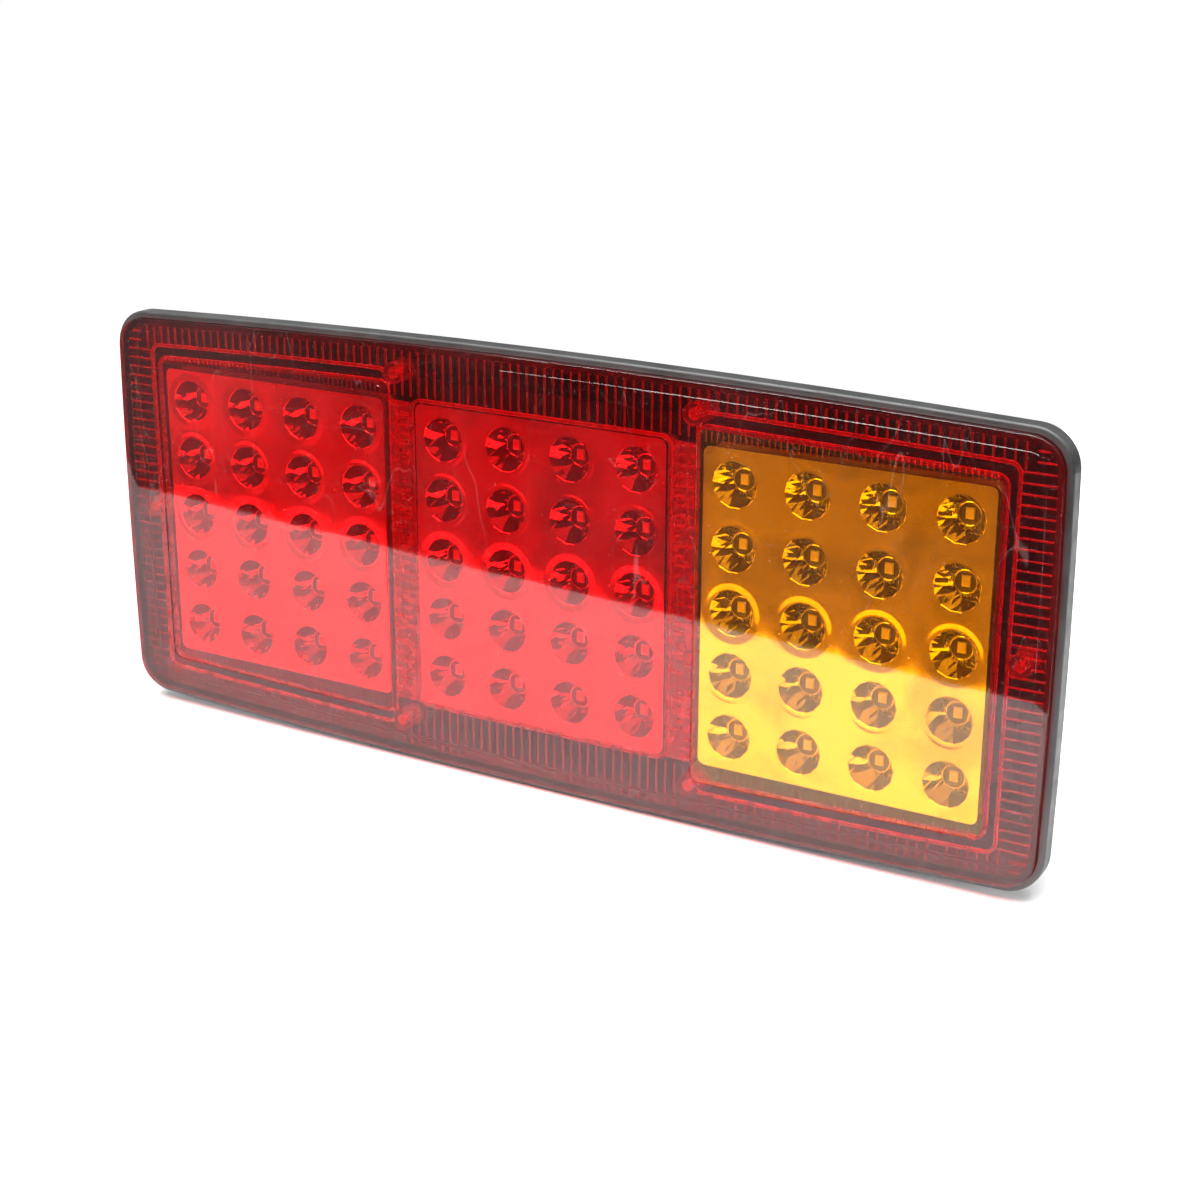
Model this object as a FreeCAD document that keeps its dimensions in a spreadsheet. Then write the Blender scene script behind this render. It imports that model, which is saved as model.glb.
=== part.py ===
import FreeCAD, Part
import math
import os
import re
import Sketcher
from FreeCAD import Placement, Rotation, Vector

# LED tail light for a trailer: three chambers behind one screwed-on lens.
#
# Frame: +X is to the right of someone facing the lit lens, +Z is up, and the lens faces -Y.
# The origin is the middle of the stud pattern, on the flat face that meets the vehicle.
# "Depth" is the distance from that face towards the lens, so a point at depth d has Y = -d.
# All sizes are millimetres.

DIMENSIONS = [
    # fits, and what the features of one piece overlap by
    ("grip_gap", 0.02, "between the push nut's teeth and the shank"),
    ("thread_gap", 0.05, "between a thread or a sleeve and what it presses on"),
    ("slip_gap", 0.1, "round a piece that slips into its hole"),
    ("loose_gap", 0.2, "round a piece that passes with room to spare"),
    ("head_gap", 0.3, "round the head of a screw or a stud"),
    ("rooting", 1.0, "how far inside its wall a feature starts"),
    ("overcut", 1.0, "how far a cut runs past the face that it opens"),
    ("small_corner", 0.1, "corner radius of slits, recesses and chips"),
    ("tip_slope", 35.0, "slope of the points of screws and studs, in degrees"),
    # the bowed rectangular outline of the whole lamp
    ("half_width", 177.4, "half the overall width"),
    ("half_height", 75.2, "half the overall height, at the middle"),
    ("long_bow", 4240.0, "radius of the top and bottom edges"),
    ("short_bow", 2340.0, "radius of the two ends"),
    ("corner", 13.0, "radius of the rim's corners"),
    # depths from the mounting face
    ("depth_lens", 38.0, "front of the lens"),
    ("depth_band", 37.65, "front of the band round the lens"),
    ("depth_inner", 35.9, "inner face of the lens"),
    ("depth_rim", 35.5, "front of the housing's rim and of the reflectors"),
    ("depth_skirt", 31.4, "back edge of the lens's skirt"),
    ("depth_ledge", 30.4, "ledge that carries the seal"),
    ("depth_shoulder", 29.0, "back of the rim, where the shell starts to taper"),
    ("depth_floor", 6.5, "inside of the back wall"),
    ("depth_back", 4.0, "outside of the back wall"),
    # rear housing
    ("rim_wall", 2.2, "width of the rim beside the lens"),
    ("edge_round", 0.8, "rounding of the housing's outer edges"),
    ("ledge_inset", 6.2, "inner edge of the seal's ledge"),
    ("shoulder_inset", 3.0, "step in from the rim to the shell"),
    ("back_inset", 20.0, "outline of the back wall"),
    ("floor_inset", 21.3, "outline of the inside floor"),
    ("shell_corner", 10.0, "corner radius of the shell"),
    ("cavity_corner", 9.0, "corner radius of the space inside"),
    ("pad_width", 224.0, "mounting pad"),
    ("pad_height", 58.0, "mounting pad"),
    ("pad_corner", 12.0, "mounting pad"),
    ("pad_wall", 3.0, "wall left under the mounting pad"),
    ("rib_width", 2.0, "stiffening ribs on the back"),
    ("rib_pitch", 30.0, "stiffening ribs on the back"),
    ("rib_span", 20.5, "length of each rib"),
    ("rib_gap", 1.0, "between the pad and the ribs"),
    ("seal_margin", 0.6, "the seal's inner edge, back from the ledge's"),
    # lens
    ("lens_gap", 0.2, "gap between the lens and the rim"),
    ("skirt_wall", 2.4, "wall of the lens's skirt"),
    ("band_inset", 3.7, "outer edge of the band"),
    ("bevel_outer", 7.0, "outer edge of the small step up to the front"),
    ("bevel_inner", 7.4, "inner edge of the small step up to the front"),
    ("window_near", 58.8, "edge of a side window towards the middle"),
    ("window_far", 157.2, "edge of a side window towards the end"),
    ("window_inset", 16.4, "top and bottom of a side window, in from the outline"),
    ("window_corner", 3.0, "corner radius of a side window"),
    ("window_gap", 0.1, "glue gap round a window insert"),
    ("baffle_wall", 1.0, "ribs round the chambers"),
    ("frame_step", 3.4, "from the inner rib to the outer one, across the ends"),
    ("frame_rise", 4.2, "from the inner rib to the outer one, above and below"),
    ("baffle_depth", 1.2, "how far the ribs reach in"),
    ("middle_frame_half", 48.3, "rib round the middle chamber"),
    ("middle_frame_high", 53.4, "rib round the middle chamber"),
    # lens screws
    ("screw_side", 164.7, "distance of the end screws from the middle"),
    ("screw_across", 56.5, "the four other screws, across"),
    ("screw_up", 61.8, "the four other screws, up and down"),
    ("boss_radius", 3.6, "boss on the lens"),
    ("boss_end", 27.0, "depth of the boss's free end"),
    ("pillar_radius", 4.8, "pillar on the housing"),
    ("pillar_start", 10.0, "depth of the pillar's back end"),
    ("screw_seat", 14.0, "depth of the face under the screw's head"),
    ("screw_length", 19.0, "from under the head to the tip"),
    ("screw_radius", 1.95, "outside of the thread"),
    ("screw_head", 3.3, "radius of the head"),
    ("screw_head_high", 2.2, "height of the head"),
    ("screw_seal", 0.8, "thickness of the seal under the head"),
    ("screw_tip", 2.0, "length of the point"),
    ("screw_cross", 2.0, "half the length of the recess in the head"),
    ("screw_cross_wall", 0.45, "half the width of the recess"),
    ("screw_cross_deep", 1.4, "depth of the recess"),
    ("pilot_spare", 0.5, "pilot hole beyond the screw's point"),
    # reflectors and boards
    ("chamber_pitch", 107.7, "from one chamber's centre to the next"),
    ("led_pitch_across", 24.4, "cup spacing across"),
    ("led_pitch_up", 20.8, "cup spacing up"),
    ("plate_half_wide", 47.3, "reflector plate"),
    ("plate_half_high", 52.7, "reflector plate"),
    ("plate_corner", 2.4, "reflector plate"),
    ("plate_thick", 1.2, "reflector plate"),
    ("cup_radius", 7.5, "mouth of a cup"),
    ("cup_throat", 3.65, "hole at the bottom of a cup"),
    ("cup_deep", 7.6, "depth of a cup"),
    ("cup_wall", 0.9, "wall of a cup"),
    ("leg_across", 43.8, "legs behind the plate's corners"),
    ("leg_up", 49.2, "legs behind the plate's corners"),
    ("leg_radius", 1.9, "legs behind the plate's corners"),
    ("board_front", 27.8, "depth of the board's LED side"),
    ("board_thick", 1.6, "circuit board"),
    ("board_half_wide", 47.0, "circuit board"),
    ("board_half_high", 52.2, "circuit board"),
    ("led_wide", 2.8, "LED package"),
    ("led_high", 3.5, "LED package"),
    ("led_thick", 0.8, "LED package"),
    ("led_corner", 0.2, "LED package"),
    ("led_well", 1.28, "radius of the well in the package"),
    ("chip_half_long", 3.15, "dropping resistor"),
    ("chip_half_wide", 1.6, "dropping resistor"),
    ("chip_thick", 0.7, "dropping resistor"),
    ("diode_half_long", 2.2, "protection diode"),
    ("diode_half_wide", 1.35, "protection diode"),
    ("diode_thick", 2.2, "protection diode"),
    ("board_screw_radius", 1.0, "screws that hold a board to its reflector"),
    ("board_screw_long", 5.0, "screws that hold a board to its reflector"),
    ("board_head", 2.0, "radius of a board screw's head"),
    ("board_head_high", 1.4, "height of a board screw's head"),
    ("board_cross", 1.2, "half the length of the recess in its head"),
    ("board_cross_wall", 0.25, "half the width of the recess"),
    ("board_cross_deep", 0.7, "depth of the recess"),
    ("board_pilot_spare", 0.5, "pilot hole beyond a board screw"),
    ("post_across", 24.4, "support posts under a board"),
    ("post_up", 31.2, "support posts under a board"),
    ("post_radius", 2.6, "support posts under a board"),
    ("pin_radius", 1.2, "locating pins on the posts"),
    ("pin_proud", 0.6, "locating pins, above the board"),
    # studs, cable inlet and vent
    ("stud_half_pitch", 76.2, "studs, from the middle"),
    ("stud_radius", 4.0, "M8 stud"),
    ("stud_reach", 22.0, "stud beyond the mounting face"),
    ("stud_boss", 12.0, "radius of the boss inside the housing"),
    ("stud_boss_top", 11.0, "depth of the boss's inner end"),
    ("stud_shank", 3.8, "radius of the plain shank inside the housing"),
    ("stud_head_high", 3.8, "height of the stud's hexagon head"),
    ("stud_seal", 1.0, "thickness of the seal under the stud's head"),
    ("stud_tip", 1.0, "length of the stud's point"),
    ("thread_start", 0.3, "depth where the thread starts"),
    ("recess_radius", 9.2, "recess round the washer and the push nut"),
    ("recess_deep", 3.0, "recess round the washer and the push nut"),
    ("washer_thick", 1.2, "washer under the push nut"),
    ("washer_radius", 8.0, "washer under the push nut"),
    ("nut_thick", 0.8, "push nut"),
    ("slit_long", 2.6, "slits in a push nut"),
    ("slit_wide", 0.3, "slits in a push nut"),
    ("stud_seat", 6.0, "depth of the face under the stud's seal"),
    ("hex_half", 6.5, "half the width across flats of an M8 hexagon"),
    ("inlet_radius", 7.0, "hole for the cable grommet"),
    ("cable_radius", 3.5, "bore of the grommet"),
    ("vent_across", 90.0, "breather vent"),
    ("vent_down", 40.0, "breather vent, below the middle"),
    ("vent_radius", 3.6, "hole for the vent"),
    ("vent_cap", 6.0, "radius of the vent's cap"),
    ("vent_cap_high", 2.4, "height of the vent's cap"),
    ("vent_barb", 1.0, "how far the vent's barb stands out"),
    ("vent_barb_high", 1.2, "height of the vent's barb"),
    ("grommet_flange", 10.0, "grommet's flange, let into the pad"),
    ("grommet_sink", 1.6, "grommet's flange, let into the pad"),
    ("flange_start", 0.2, "depth of the flange's outer face"),
    ("grommet_lip", 2.0, "width and height of the grommet's lip inside the housing"),
    ("sleeve_long", 4.0, "grommet's sleeve, beyond the lip"),
    ("sleeve_step", 1.5, "from the inlet's radius in to the sleeve"),
    ("inlet_boss", 13.0, "boss round the grommet"),
    ("inlet_boss_top", 5.0, "boss round the grommet"),
    # electrical parts behind the boards
    ("connector_up", 18.0, "wire connectors, below the middle"),
    ("connector_back", 9.2, "wire connectors, height with the plug"),
    ("connector_half_wide", 2.6, "wire connectors"),
    ("connector_half_high", 4.4, "wire connectors"),
    ("connector_corner", 0.4, "wire connectors"),
    ("lead_radius", 0.7, "outside of a jumper wire"),
    ("lead_spacing", 2.5, "between the wires of a jumper"),
    ("lead_bend", 5.0, "radius of a jumper wire's bends"),
    ("lead_drop", 6.0, "how far a jumper wire stands off its plugs"),
    ("terminal_half_wide", 11.0, "terminal block"),
    ("terminal_half_high", 4.5, "terminal block"),
    ("terminal_back", 10.0, "terminal block"),
    ("terminal_pitch", 5.0, "terminal block"),
    ("terminal_corner", 0.5, "terminal block"),
    ("terminal_shift", 1.0, "terminal screws, above the block's middle"),
    ("terminal_well", 2.0, "radius of the wells for the screws"),
    ("terminal_well_deep", 3.5, "depth of the wells and wire ways"),
    ("wire_way_half_wide", 1.5, "holes for the wires"),
    ("wire_way_half_high", 1.6, "holes for the wires"),
    ("wire_way_corner", 0.3, "holes for the wires"),
    ("wire_way_sink", 4.0, "holes for the wires, in from the block's back"),
    ("terminal_head", 1.9, "radius of a terminal screw"),
    ("terminal_head_high", 2.5, "length of a terminal screw"),
    ("terminal_head_sink", 1.0, "terminal screw, in from the block's back"),
    ("terminal_slot", 1.5, "half the length of its slot"),
    ("terminal_slot_wall", 0.3, "half the width of its slot"),
    ("terminal_slot_deep", 0.8, "depth of its slot"),
]

COLUMNS = 4
ROWS = 5
RIBS = 8
WIRE_WAYS = 4
CHAMBERS = {"left": -1, "middle": 0, "right": 1}
FIRST_LED = ("-%g * led_pitch_across" % ((COLUMNS - 1) / 2), "-%g * led_pitch_up" % ((ROWS - 1) / 2))
FIRST_WIRE_WAY = "-%g * terminal_pitch" % ((WIRE_WAYS - 1) / 2)
TOUCHING = 1e-6        # places nearer than this are one place
SETTLING_ROUNDS = 30   # rounds that find the centre of the outline's corner
ALIASES = {alias for alias, _, _ in DIMENSIONS}

doc = FreeCAD.newDocument("tail_light")
sheet = doc.addObject("Spreadsheet::Sheet", "dims")
for row, (alias, size, note) in enumerate(DIMENSIONS, start=1):
    sheet.set("A%d" % row, alias)
    sheet.set("B%d" % row, str(size))
    sheet.set("C%d" % row, note)
    sheet.setAlias("B%d" % row, alias)
doc.recompute()
finished = []


# ---------------------------------------------------------------- helpers

def named(expression):
    """Puts the sheet's name before each alias, so that any object can use the expression."""
    return re.sub(r"[a-z_]+", lambda m: "dims." * (m.group() in ALIASES) + m.group(), expression)


def size_of(expression):
    """The number that an expression stands for now."""
    return float(sheet.evalExpression(named(expression)))


def bind(target, prop, expression):
    target.setExpression(prop, named(expression))


def new_body(label):
    body = doc.addObject("PartDesign::Body", label)
    body.Label = label
    finished.append(body)
    return body


def new_sketch(body, name, depth):
    """A sketch parallel to the lens, at a depth from the mounting face: its x is X and its y is Z."""
    plane = next(f for f in body.Origin.OriginFeatures if f.Role == "XZ_Plane")
    sketch = body.newObject("Sketcher::SketchObject", name)
    sketch.AttachmentSupport = [(plane, "")]
    sketch.MapMode = "FlatFace"
    bind(sketch, ".AttachmentOffset.Base.z", depth)
    return sketch


def constrain(sketch, kind, *places, value=None):
    """Adds a constraint. A value is an expression in the sheet's names, and the constraint follows it."""
    if value is None:
        sketch.addConstraint(Sketcher.Constraint(kind, *places))
        return
    index = sketch.addConstraint(Sketcher.Constraint(kind, *places, size_of(value)))
    name = "size_%d" % index
    sketch.renameConstraint(index, name)
    bind(sketch, "Constraints." + name, value)


def place_point(sketch, geometry, point, across, up):
    """Ties a point of the sketch to the origin by two signed distances, each an expression."""
    for kind, value in (("DistanceX", across), ("DistanceY", up)):
        if abs(size_of(value)) < TOUCHING:
            line = -2 if kind == "DistanceX" else -1
            constrain(sketch, "PointOnObject", geometry, point, line)
        elif size_of(value) > 0:
            constrain(sketch, kind, -1, 1, geometry, point, value=value)
        else:
            constrain(sketch, kind, geometry, point, -1, 1, value="-(%s)" % value)


def add_circle(sketch, across, up, radius):
    centre = Vector(size_of(across), size_of(up), 0)
    index = sketch.addGeometry(Part.Circle(centre, Vector(0, 0, 1), size_of(radius)))
    constrain(sketch, "Radius", index, value=radius)
    place_point(sketch, index, 3, across, up)
    return index


def arc_between(centre, start, end):
    """The arc that runs anticlockwise from start to end."""
    first = math.atan2(start.y - centre.y, start.x - centre.x)
    last = math.atan2(end.y - centre.y, end.x - centre.x)
    circle = Part.Circle(centre, Vector(0, 0, 1), (start - centre).Length)
    return Part.ArcOfCircle(circle, first, last)


def touch(centre, radius, corner):
    """Where the arc of a corner meets the larger arc that it is tangent to."""
    return centre + (corner - centre).normalize() * radius


def close_tangent(sketch, first, count):
    """Joins count curves, which follow one another from index first, end to end and tangent."""
    for step in range(count):
        after = first + (step + 1) % count
        constrain(sketch, "Tangent", first + step, 2, after, 1)


def add_bowed_outline(sketch, inset, corner):
    """The lamp's outline, four bowed edges and four round corners, drawn in by inset all round."""
    half_x = size_of("half_width - (%s)" % inset)
    half_z = size_of("half_height - (%s)" % inset)
    end_r = size_of("short_bow - (%s)" % inset)
    long_r = size_of("long_bow - (%s)" % inset)
    round_r = size_of(corner)
    end_centre = end_r - half_x
    long_centre = long_r - half_z
    # the corner's centre lies on both of the larger arcs' circles, drawn in by the corner's radius
    x = half_x - round_r
    z = half_z - round_r
    for _ in range(SETTLING_ROUNDS):
        x = math.sqrt((end_r - round_r) ** 2 - z ** 2) - end_centre
        z = math.sqrt((long_r - round_r) ** 2 - x ** 2) - long_centre
    corners = [Vector(x, z, 0), Vector(-x, z, 0), Vector(-x, -z, 0), Vector(x, -z, 0)]
    sides = [(Vector(-end_centre, 0, 0), end_r), (Vector(0, -long_centre, 0), long_r),
             (Vector(end_centre, 0, 0), end_r), (Vector(0, long_centre, 0), long_r)]
    curves = []
    for turn, (centre, radius) in enumerate(sides):
        before = corners[turn - 1]
        here = corners[turn]
        next_centre, next_radius = sides[(turn + 1) % 4]
        end = touch(centre, radius, here)
        curves.append(arc_between(centre, touch(centre, radius, before), end))
        curves.append(arc_between(here, end, touch(next_centre, next_radius, here)))
    first = sketch.addGeometry(curves, False)[0]
    close_tangent(sketch, first, len(curves))
    for turn in range(4):
        side = first + 2 * turn
        across = turn % 2 == 0
        constrain(sketch, "PointOnObject", side, 3, -1 if across else -2)
        bow, half = ("short_bow", "half_width") if across else ("long_bow", "half_height")
        constrain(sketch, "Radius", side, value="%s - (%s)" % (bow, inset))
        constrain(sketch, "Radius", side + 1, value=corner)
        order = (side, 3, -1, 1) if turn < 2 else (-1, 1, side, 3)
        kind = "DistanceX" if across else "DistanceY"
        constrain(sketch, kind, *order, value="%s - %s" % (bow, half))


def add_window_outline(sketch, near, far, inset, corner):
    """A side window: straight upright edges, and a top and bottom that follow the lamp's bow."""
    round_r = size_of(corner)
    long_r = size_of("long_bow - (%s)" % inset)
    top_centre = Vector(0, -size_of("long_bow - half_height"), 0)
    low_centre = Vector(0, -top_centre.y, 0)
    corners = []
    for x in (size_of(far) - round_r, size_of(near) + round_r):
        z = math.sqrt((long_r - round_r) ** 2 - x ** 2) + top_centre.y
        corners.append(Vector(x, z, 0))
    for x in (size_of(near) + round_r, size_of(far) - round_r):
        z = math.sqrt((long_r - round_r) ** 2 - x ** 2) + top_centre.y
        corners.append(Vector(x, -z, 0))
    right = Vector(round_r, 0, 0)
    top = [touch(top_centre, long_r, c) for c in corners[:2]]
    low = [touch(low_centre, long_r, c) for c in corners[2:]]
    curves = [
        Part.LineSegment(corners[3] + right, corners[0] + right),
        arc_between(corners[0], corners[0] + right, top[0]),
        arc_between(top_centre, top[0], top[1]),
        arc_between(corners[1], top[1], corners[1] - right),
        Part.LineSegment(corners[1] - right, corners[2] - right),
        arc_between(corners[2], corners[2] - right, low[0]),
        arc_between(low_centre, low[0], low[1]),
        arc_between(corners[3], low[1], corners[3] + right),
    ]
    first = sketch.addGeometry(curves, False)[0]
    close_tangent(sketch, first, len(curves))
    for step, position in ((0, far), (4, near)):
        constrain(sketch, "Vertical", first + step)
        constrain(sketch, "DistanceX", -1, 1, first + step, 1, value=position)
    for step in (2, 6):
        constrain(sketch, "Radius", first + step, value="long_bow - (%s)" % inset)
        constrain(sketch, "PointOnObject", first + step, 3, -2)
    constrain(sketch, "DistanceY", first + 2, 3, -1, 1, value="long_bow - half_height")
    constrain(sketch, "DistanceY", -1, 1, first + 6, 3, value="long_bow - half_height")
    for step in (1, 3, 5, 7):
        constrain(sketch, "Radius", first + step, value=corner)


def add_rectangle(sketch, half_wide, half_high, corner, across="0", up="0"):
    """A rectangle with round corners, its middle at (across, up)."""
    x = size_of(half_wide)
    z = size_of(half_high)
    r = size_of(corner)
    middle = Vector(size_of(across), size_of(up), 0)
    corners = [middle + Vector(sx * (x - r), sz * (z - r), 0)
               for sx, sz in ((1, 1), (-1, 1), (-1, -1), (1, -1))]
    out = [Vector(r, 0, 0), Vector(0, r, 0), Vector(-r, 0, 0), Vector(0, -r, 0)]
    curves = []
    for turn, here in enumerate(corners):
        curves.append(Part.LineSegment(corners[turn - 1] + out[turn], here + out[turn]))
        curves.append(arc_between(here, here + out[turn], here + out[(turn + 1) % 4]))
    first = sketch.addGeometry(curves, False)[0]
    close_tangent(sketch, first, len(curves))
    for turn in range(4):
        constrain(sketch, "Radius", first + 2 * turn + 1, value=corner)
    constrain(sketch, "Vertical", first)
    constrain(sketch, "Horizontal", first + 2)
    constrain_edge(sketch, first, "DistanceX", "%s + %s" % (across, half_wide))
    constrain_edge(sketch, first + 2, "DistanceY", "%s + %s" % (up, half_high))
    constrain_edge(sketch, first + 4, "DistanceX", "%s - (%s)" % (across, half_wide))
    constrain_edge(sketch, first + 6, "DistanceY", "%s - (%s)" % (up, half_high))


def add_hexagon(sketch, half_flats):
    """A hexagon round the origin, with two upright sides."""
    reach = size_of(half_flats) / math.cos(math.pi / 6)
    circle = sketch.addGeometry(Part.Circle(Vector(0, 0, 0), Vector(0, 0, 1), reach), True)
    constrain(sketch, "Coincident", circle, 3, -1, 1)
    constrain(sketch, "Radius", circle, value="(%s) / cos(30)" % half_flats)
    points = [Vector(reach * math.cos(angle), reach * math.sin(angle), 0)
              for angle in (math.pi / 6 + turn * math.pi / 3 for turn in range(6))]
    lines = [Part.LineSegment(points[turn], points[(turn + 1) % 6]) for turn in range(6)]
    first = sketch.addGeometry(lines, False)[0]
    for turn in range(6):
        constrain(sketch, "Coincident", first + turn, 2, first + (turn + 1) % 6, 1)
        constrain(sketch, "PointOnObject", first + turn, 1, circle)
        if turn:
            constrain(sketch, "Equal", first, first + turn)
    constrain(sketch, "Vertical", first + 5)


def constrain_edge(sketch, line, kind, position):
    """Holds the start of a line at a signed distance from the origin."""
    if size_of(position) > 0:
        constrain(sketch, kind, -1, 1, line, 1, value=position)
    else:
        constrain(sketch, kind, line, 1, -1, 1, value="-(%s)" % position)


def pad(body, sketch, length, backwards=False, taper=None):
    """Adds a slab that grows towards the lens, or away from it if backwards."""
    feature = body.newObject("PartDesign::Pad", sketch.Name + "_pad")
    feature.Profile = sketch
    bind(feature, "Length", length)
    feature.Reversed = backwards
    if taper:
        bind(feature, "TaperAngle", taper)
    return feature


def pocket(body, sketch, length, forwards=False, taper=None):
    """Cuts away from the lens, or towards it if forwards."""
    feature = body.newObject("PartDesign::Pocket", sketch.Name + "_cut")
    feature.Profile = sketch
    bind(feature, "Length", length)
    feature.Reversed = forwards
    if taper:
        bind(feature, "TaperAngle", taper)
    return feature


def round_edges(body, feature, depth, radius):
    """Rounds the edges of a feature that lie wholly at one depth."""
    doc.recompute()
    names = []
    for number, edge in enumerate(feature.Shape.Edges, start=1):
        if all(abs(vertex.Point.y + size_of(depth)) < TOUCHING for vertex in edge.Vertexes):
            names.append("Edge%d" % number)
    fillet = body.newObject("PartDesign::Fillet", "round")
    fillet.Base = (feature, names)
    bind(fillet, "Radius", radius)
    return fillet


def loft(body, kind, first, last):
    feature = body.newObject("PartDesign::" + kind, last.Name + "_loft")
    feature.Profile = first
    feature.Sections = [last]
    feature.Ruled = True
    return feature


def pattern(body, originals, *runs):
    """Repeats features along X and Z. A run is (axis, whole length as an expression, count)."""
    multi = body.newObject("PartDesign::MultiTransform", originals[0].Name + "_grid")
    multi.Originals = originals
    steps = []
    for axis, length, count in runs:
        step = body.newObject("PartDesign::LinearPattern", originals[0].Name + "_run")
        role = next(f for f in body.Origin.OriginFeatures if f.Role == axis)
        step.Direction = (role, [""])
        step.Reversed = length.startswith("-")
        bind(step, "Length", length.lstrip("-"))
        step.Occurrences = count
        steps.append(step)
    multi.Transformations = steps
    body.Tip = multi
    return multi


def mirrored(body, originals, role):
    feature = body.newObject("PartDesign::Mirrored", originals[0].Name + "_mirror")
    feature.Originals = originals
    plane = next(f for f in body.Origin.OriginFeatures if f.Role == role)
    feature.MirrorPlane = (plane, [""])
    body.Tip = feature
    return feature


def screw_places():
    """The six lens screws, as pairs of expressions."""
    places = [("screw_side", "0"), ("-screw_side", "0")]
    for across in ("screw_across", "-screw_across"):
        for up in ("screw_up", "-screw_up"):
            places.append((across, up))
    return places


def add_circles(sketch, places, *radii):
    """One circle, or a ring of two, at each place."""
    for across, up in places:
        for radius in radii:
            add_circle(sketch, across, up, radius)


def grid_from(half_across, half_up):
    """The four places at equal distances either side of the middle."""
    return [(sx + half_across, sz + half_up) for sx in ("", "-") for sz in ("", "-")]


# ---------------------------------------------------------------- housing

def rear_housing():
    """Moulded shell: rim with a seal ledge, tapered back, mounting pad, posts and screw pillars."""
    body = new_body("rear_housing")
    rim = new_sketch(body, "rim", "depth_shoulder")
    add_bowed_outline(rim, "0", "corner")
    slab = pad(body, rim, "depth_rim - depth_shoulder")
    slab = round_edges(body, slab, "depth_rim", "edge_round")
    round_edges(body, slab, "depth_shoulder", "edge_round")
    shoulder = new_sketch(body, "shoulder", "depth_shoulder")
    add_bowed_outline(shoulder, "shoulder_inset", "shell_corner")
    back = new_sketch(body, "back", "depth_back")
    add_bowed_outline(back, "back_inset", "shell_corner")
    shell = loft(body, "AdditiveLoft", shoulder, back)
    round_edges(body, shell, "depth_back", "2 * edge_round")
    groove = new_sketch(body, "groove", "depth_rim")
    add_bowed_outline(groove, "rim_wall", "corner - rim_wall")
    pocket(body, groove, "depth_rim - depth_ledge")
    mouth = new_sketch(body, "mouth", "depth_ledge")
    add_bowed_outline(mouth, "ledge_inset", "cavity_corner")
    floor = new_sketch(body, "floor", "depth_floor")
    add_bowed_outline(floor, "floor_inset", "cavity_corner")
    loft(body, "SubtractiveLoft", mouth, floor)
    housing_pad(body)
    housing_posts(body)
    housing_holes(body)


def housing_pad(body):
    """The raised pad that meets the vehicle, hollow inside, and the ribs above and below it."""
    face = new_sketch(body, "pad_face", "0")
    add_rectangle(face, "pad_width / 2", "pad_height / 2", "pad_corner")
    raised = pad(body, face, "depth_back + rooting")
    round_edges(body, raised, "0", "edge_round")
    hollow = new_sketch(body, "pad_hollow", "depth_floor")
    add_rectangle(hollow, "pad_width / 2 - pad_wall", "pad_height / 2 - pad_wall",
                  "pad_corner - pad_wall")
    pocket(body, hollow, "depth_floor - pad_wall")
    rib = new_sketch(body, "rib", "depth_back / 2")
    rib_up = "pad_height / 2 + rib_span / 2 + rib_gap"
    add_rectangle(rib, "rib_width / 2", "rib_span / 2", "rib_width / 4",
                  "-%g * rib_pitch" % ((RIBS - 1) / 2), "-(%s)" % rib_up)
    ribs = pad(body, rib, "depth_back / 2 + rooting")
    pattern(body, [ribs], ("X_Axis", "%d * rib_pitch" % (RIBS - 1), RIBS),
            ("Z_Axis", "2 * (%s)" % rib_up, 2))


def housing_posts(body):
    """Posts and locating pins under the boards, screw pillars, and bosses for studs and grommet."""
    post = new_sketch(body, "post", "depth_floor - rooting")
    pin = new_sketch(body, "pin", "board_front - board_thick")
    left = [("%s - chamber_pitch" % across, up) for across, up in grid_from("post_across", "post_up")]
    add_circles(post, left, "post_radius")
    add_circles(pin, left, "pin_radius")
    posts = pad(body, post, "board_front - board_thick - depth_floor + rooting")
    pins = pad(body, pin, "board_thick + pin_proud")
    pattern(body, [posts, pins], ("X_Axis", "2 * chamber_pitch", 3))
    pillar = new_sketch(body, "pillar", "pillar_start")
    add_circles(pillar, screw_places(), "pillar_radius")
    pad(body, pillar, "boss_end - loose_gap - pillar_start")
    stud_boss = new_sketch(body, "stud_boss_base", "pad_wall - rooting")
    add_circles(stud_boss, [("stud_half_pitch", "0"), ("-stud_half_pitch", "0")], "stud_boss")
    pad(body, stud_boss, "stud_boss_top - pad_wall + rooting")
    inlet = new_sketch(body, "inlet_boss_base", "pad_wall - rooting")
    add_circle(inlet, "0", "0", "inlet_boss")
    pad(body, inlet, "inlet_boss_top - pad_wall + rooting")


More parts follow.
